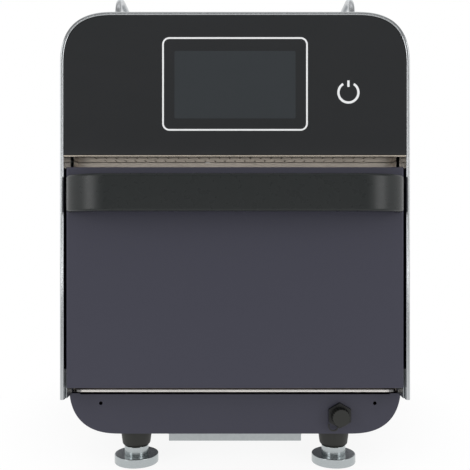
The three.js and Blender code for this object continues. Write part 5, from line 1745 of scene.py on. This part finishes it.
@dataclass(frozen=True)
class Studio(Assembly):
    """The pale floor, the wall, the soft lamps, the white round them and the camera.

    Attributes:
        lens: The camera's lens, in millimetres.
        sensor: The sensor's width, in millimetres.
        distance: How far the camera is ahead of the front plane, in millimetres.
        height: The camera's height, in millimetres.
    """

    lens: float = 50.0
    sensor: float = 36.0
    distance: float = 725.2
    height: float = 271.4

    def build(self) -> None:
        """Sets the camera, the lamps, the floor and the surroundings."""
        self.build_camera()
        self.build_world()
        self.build_floor()
        self.build_wall()
        lamps = [
            ("top_lamp", (0.0, 0.2, 2.1), (0.0, 0.0, 0.3), (2.4, 2.4), 6.0),
            ("left_lamp", (-1.5, -1.55, 0.5), (0.0, -0.3, 0.3), (0.5, 1.6), 7.2),
            ("right_lamp", (1.5, -1.55, 0.5), (0.0, -0.3, 0.3), (0.5, 1.6), 7.2),
            ("low_lamp", (0.0, -2.4, 0.12), (0.0, -0.3, 0.33), (2.0, 0.08), 1.5),
            ("edge_lamp", (0.0, -0.75, 2.0), (0.0, -0.3, 0.3), (2.0, 0.45), 1.6),
            ("sill_lamp", (0.0, -2.4, 0.57), (0.0, -0.3, 0.1), (2.0, 0.07), 0.45),
        ]
        for name, spot, target, size, power in lamps:
            self.build_lamp(name, Vector(spot), Vector(target), size, power)
        settings = bpy.context.scene.view_settings
        settings.view_transform = "Standard"

    def build_camera(self) -> None:
        """Puts the camera square to the front."""
        data = bpy.data.cameras.new("photo_camera")
        data.lens = self.lens
        data.sensor_width = self.sensor
        data.clip_start = 0.02
        camera = linked("photo_camera", data)
        camera.location = self.shop.to_frame @ Vector((0, -self.distance, self.height))
        camera.rotation_euler = (QUARTER_TURN, 0, 0)
        bpy.context.scene.camera = camera

    def build_lamp(
        self, name: str, spot: Vector, target: Vector, size: tuple[float, float], power: float
    ) -> None:
        """Hangs one soft lamp.

        Args:
            name: The lamp's name.
            spot: Where it hangs, in metres.
            target: What it points at, in metres.
            size: Its width and height, in metres.
            power: Its power, in watts.
        """
        data = bpy.data.lights.new(name, "AREA")
        data.shape = "RECTANGLE"
        data.size, data.size_y = size
        data.energy = power
        lamp = linked(name, data)
        lamp.location = spot
        lamp.rotation_euler = (target - spot).to_track_quat("-Z", "Y").to_euler()

    def build_world(self) -> None:
        """Surrounds the oven with white that lights it more softly than it shows."""
        light = 0.76
        world = bpy.data.worlds.new("studio_white")
        bpy.context.scene.world = world
        tree = fresh_tree(world)
        strength = ranged(tree, self.seen_white(tree), light, 1.0)
        white = add_node(tree, "ShaderNodeBackground", {"Color": WHITE, "Strength": strength})
        add_node(tree, "ShaderNodeOutputWorld", {"Surface": white.outputs["Background"]})

    @staticmethod
    def seen_white(tree: NodeTree) -> NodeSocket:
        """The share of 1 for rays that see the surroundings: camera, glossy and transmission.

        Args:
            tree: The node tree that gets the nodes.

        Returns:
            The socket with that share.
        """
        path = add_node(tree, "ShaderNodeLightPath").outputs
        first = combined(tree, "MAXIMUM", path["Is Camera Ray"], path["Is Glossy Ray"])
        return combined(tree, "MAXIMUM", first, path["Is Transmission Ray"])

    @staticmethod
    def stand(name: str, mesh: BMesh, material: Material) -> None:
        """Stands a piece of the studio round the oven.

        Args:
            name: The piece's name.
            mesh: Its shape in metres, which is freed.
            material: Its material.
        """
        data = stored(name, mesh)
        data.materials.append(material)
        linked(name, data)

    def build_floor(self) -> None:
        """Lays the floor, which turns to the background's white away from the oven."""
        half_width = 6.0
        mesh = bmesh.new()
        bmesh.ops.create_grid(mesh, x_segments=1, y_segments=1, size=half_width)
        self.stand("studio_floor", mesh, self.floor_material())

    def build_wall(self) -> None:
        """Stands a wall behind the camera and folds its top over the oven.

        The camera and reflections see it grey, while it lights matt surfaces nearly as the white
        round it does.
        """
        width, low, high, behind, reach, grey, light = 8.0, -1.0, 2.6, 3.2, 0.8, 0.34, 0.78
        mesh = bmesh.new()
        rows = [
            [mesh.verts.new((side * width / 2, y, z)) for side in (-1, 1)]
            for y, z in ((-behind, low), (-behind, high), (reach, high))
        ]
        for (a, b), (c, d) in zip(rows, rows[1:]):
            mesh.faces.new((a, b, d, c))
        material = bpy.data.materials.new("grey_wall")
        tree = fresh_tree(material)
        strength = ranged(tree, self.seen_white(tree), light, grey)
        glow = add_node(tree, "ShaderNodeEmission", {"Strength": strength})
        add_node(tree, "ShaderNodeOutputMaterial", {"Surface": glow.outputs["Emission"]})
        self.stand("studio_wall", mesh, material)

    def floor_material(self) -> Material:
        """A matt white floor that keeps the oven's shadow and turns greyer far ahead of it.

        Returns:
            The floor's material.
        """
        squeeze, near, far, least = (1.6, 1.2, 1.0), 0.3, 0.62, 0.9
        ahead, home, dimmest = -1.3, -0.45, 0.5
        matt_white, dullness = (0.86, 0.86, 0.86, 1.0), 0.6
        material = bpy.data.materials.new("white_floor")
        tree = fresh_tree(material)
        spot = add_node(tree, "ShaderNodeTexCoord").outputs["Object"]
        squeezed = add_node(tree, "ShaderNodeMapping", {"Vector": spot, "Scale": squeeze})
        reach = {0: squeezed.outputs["Vector"]}
        away = add_node(tree, "ShaderNodeVectorMath", reach, operation="LENGTH")
        fade = ranged(tree, away.outputs["Value"], least, 1.0, near, far, "SMOOTHSTEP")
        share = combined(tree, "MULTIPLY", fade, self.seen_white(tree))
        surface = {"Color": matt_white, "Roughness": dullness}
        matt = add_node(tree, "ShaderNodeBsdfDiffuse", surface)
        across = add_node(tree, "ShaderNodeSeparateXYZ", {0: spot})
        towards = ranged(tree, across.outputs["Y"], dimmest, 1.0, ahead, home)
        glow = add_node(tree, "ShaderNodeEmission", {"Color": WHITE, "Strength": towards})
        both = {0: share, 1: matt.outputs["BSDF"], 2: glow.outputs["Emission"]}
        mix = add_node(tree, "ShaderNodeMixShader", both)
        add_node(tree, "ShaderNodeOutputMaterial", {"Surface": mix.outputs["Shader"]})
        return material


def main() -> None:
    """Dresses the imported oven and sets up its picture."""
    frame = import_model()
    logging.basicConfig(level=logging.INFO, format="%(name)s %(message)s")
    shop = Workshop(frame)
    half_width, top = 195.0, 520.0
    body = Arch(half_width, top)
    assemblies = [
        Studio(shop),
        OuterShell(shop, body),
        ControlPanel(shop, body),
        Base(shop),
        DoorFrame(shop),
        Door(shop),
        Handle(shop),
        ServicePort(shop),
        *(Foot(shop, row, side) for row in ("front", "rear") for side in ("left", "right")),
        Machinery(shop),
    ]
    for assembly in assemblies:
        assembly.build()
        log.info("built %s", type(assembly).__name__)


if __name__ == "__main__":
    main()
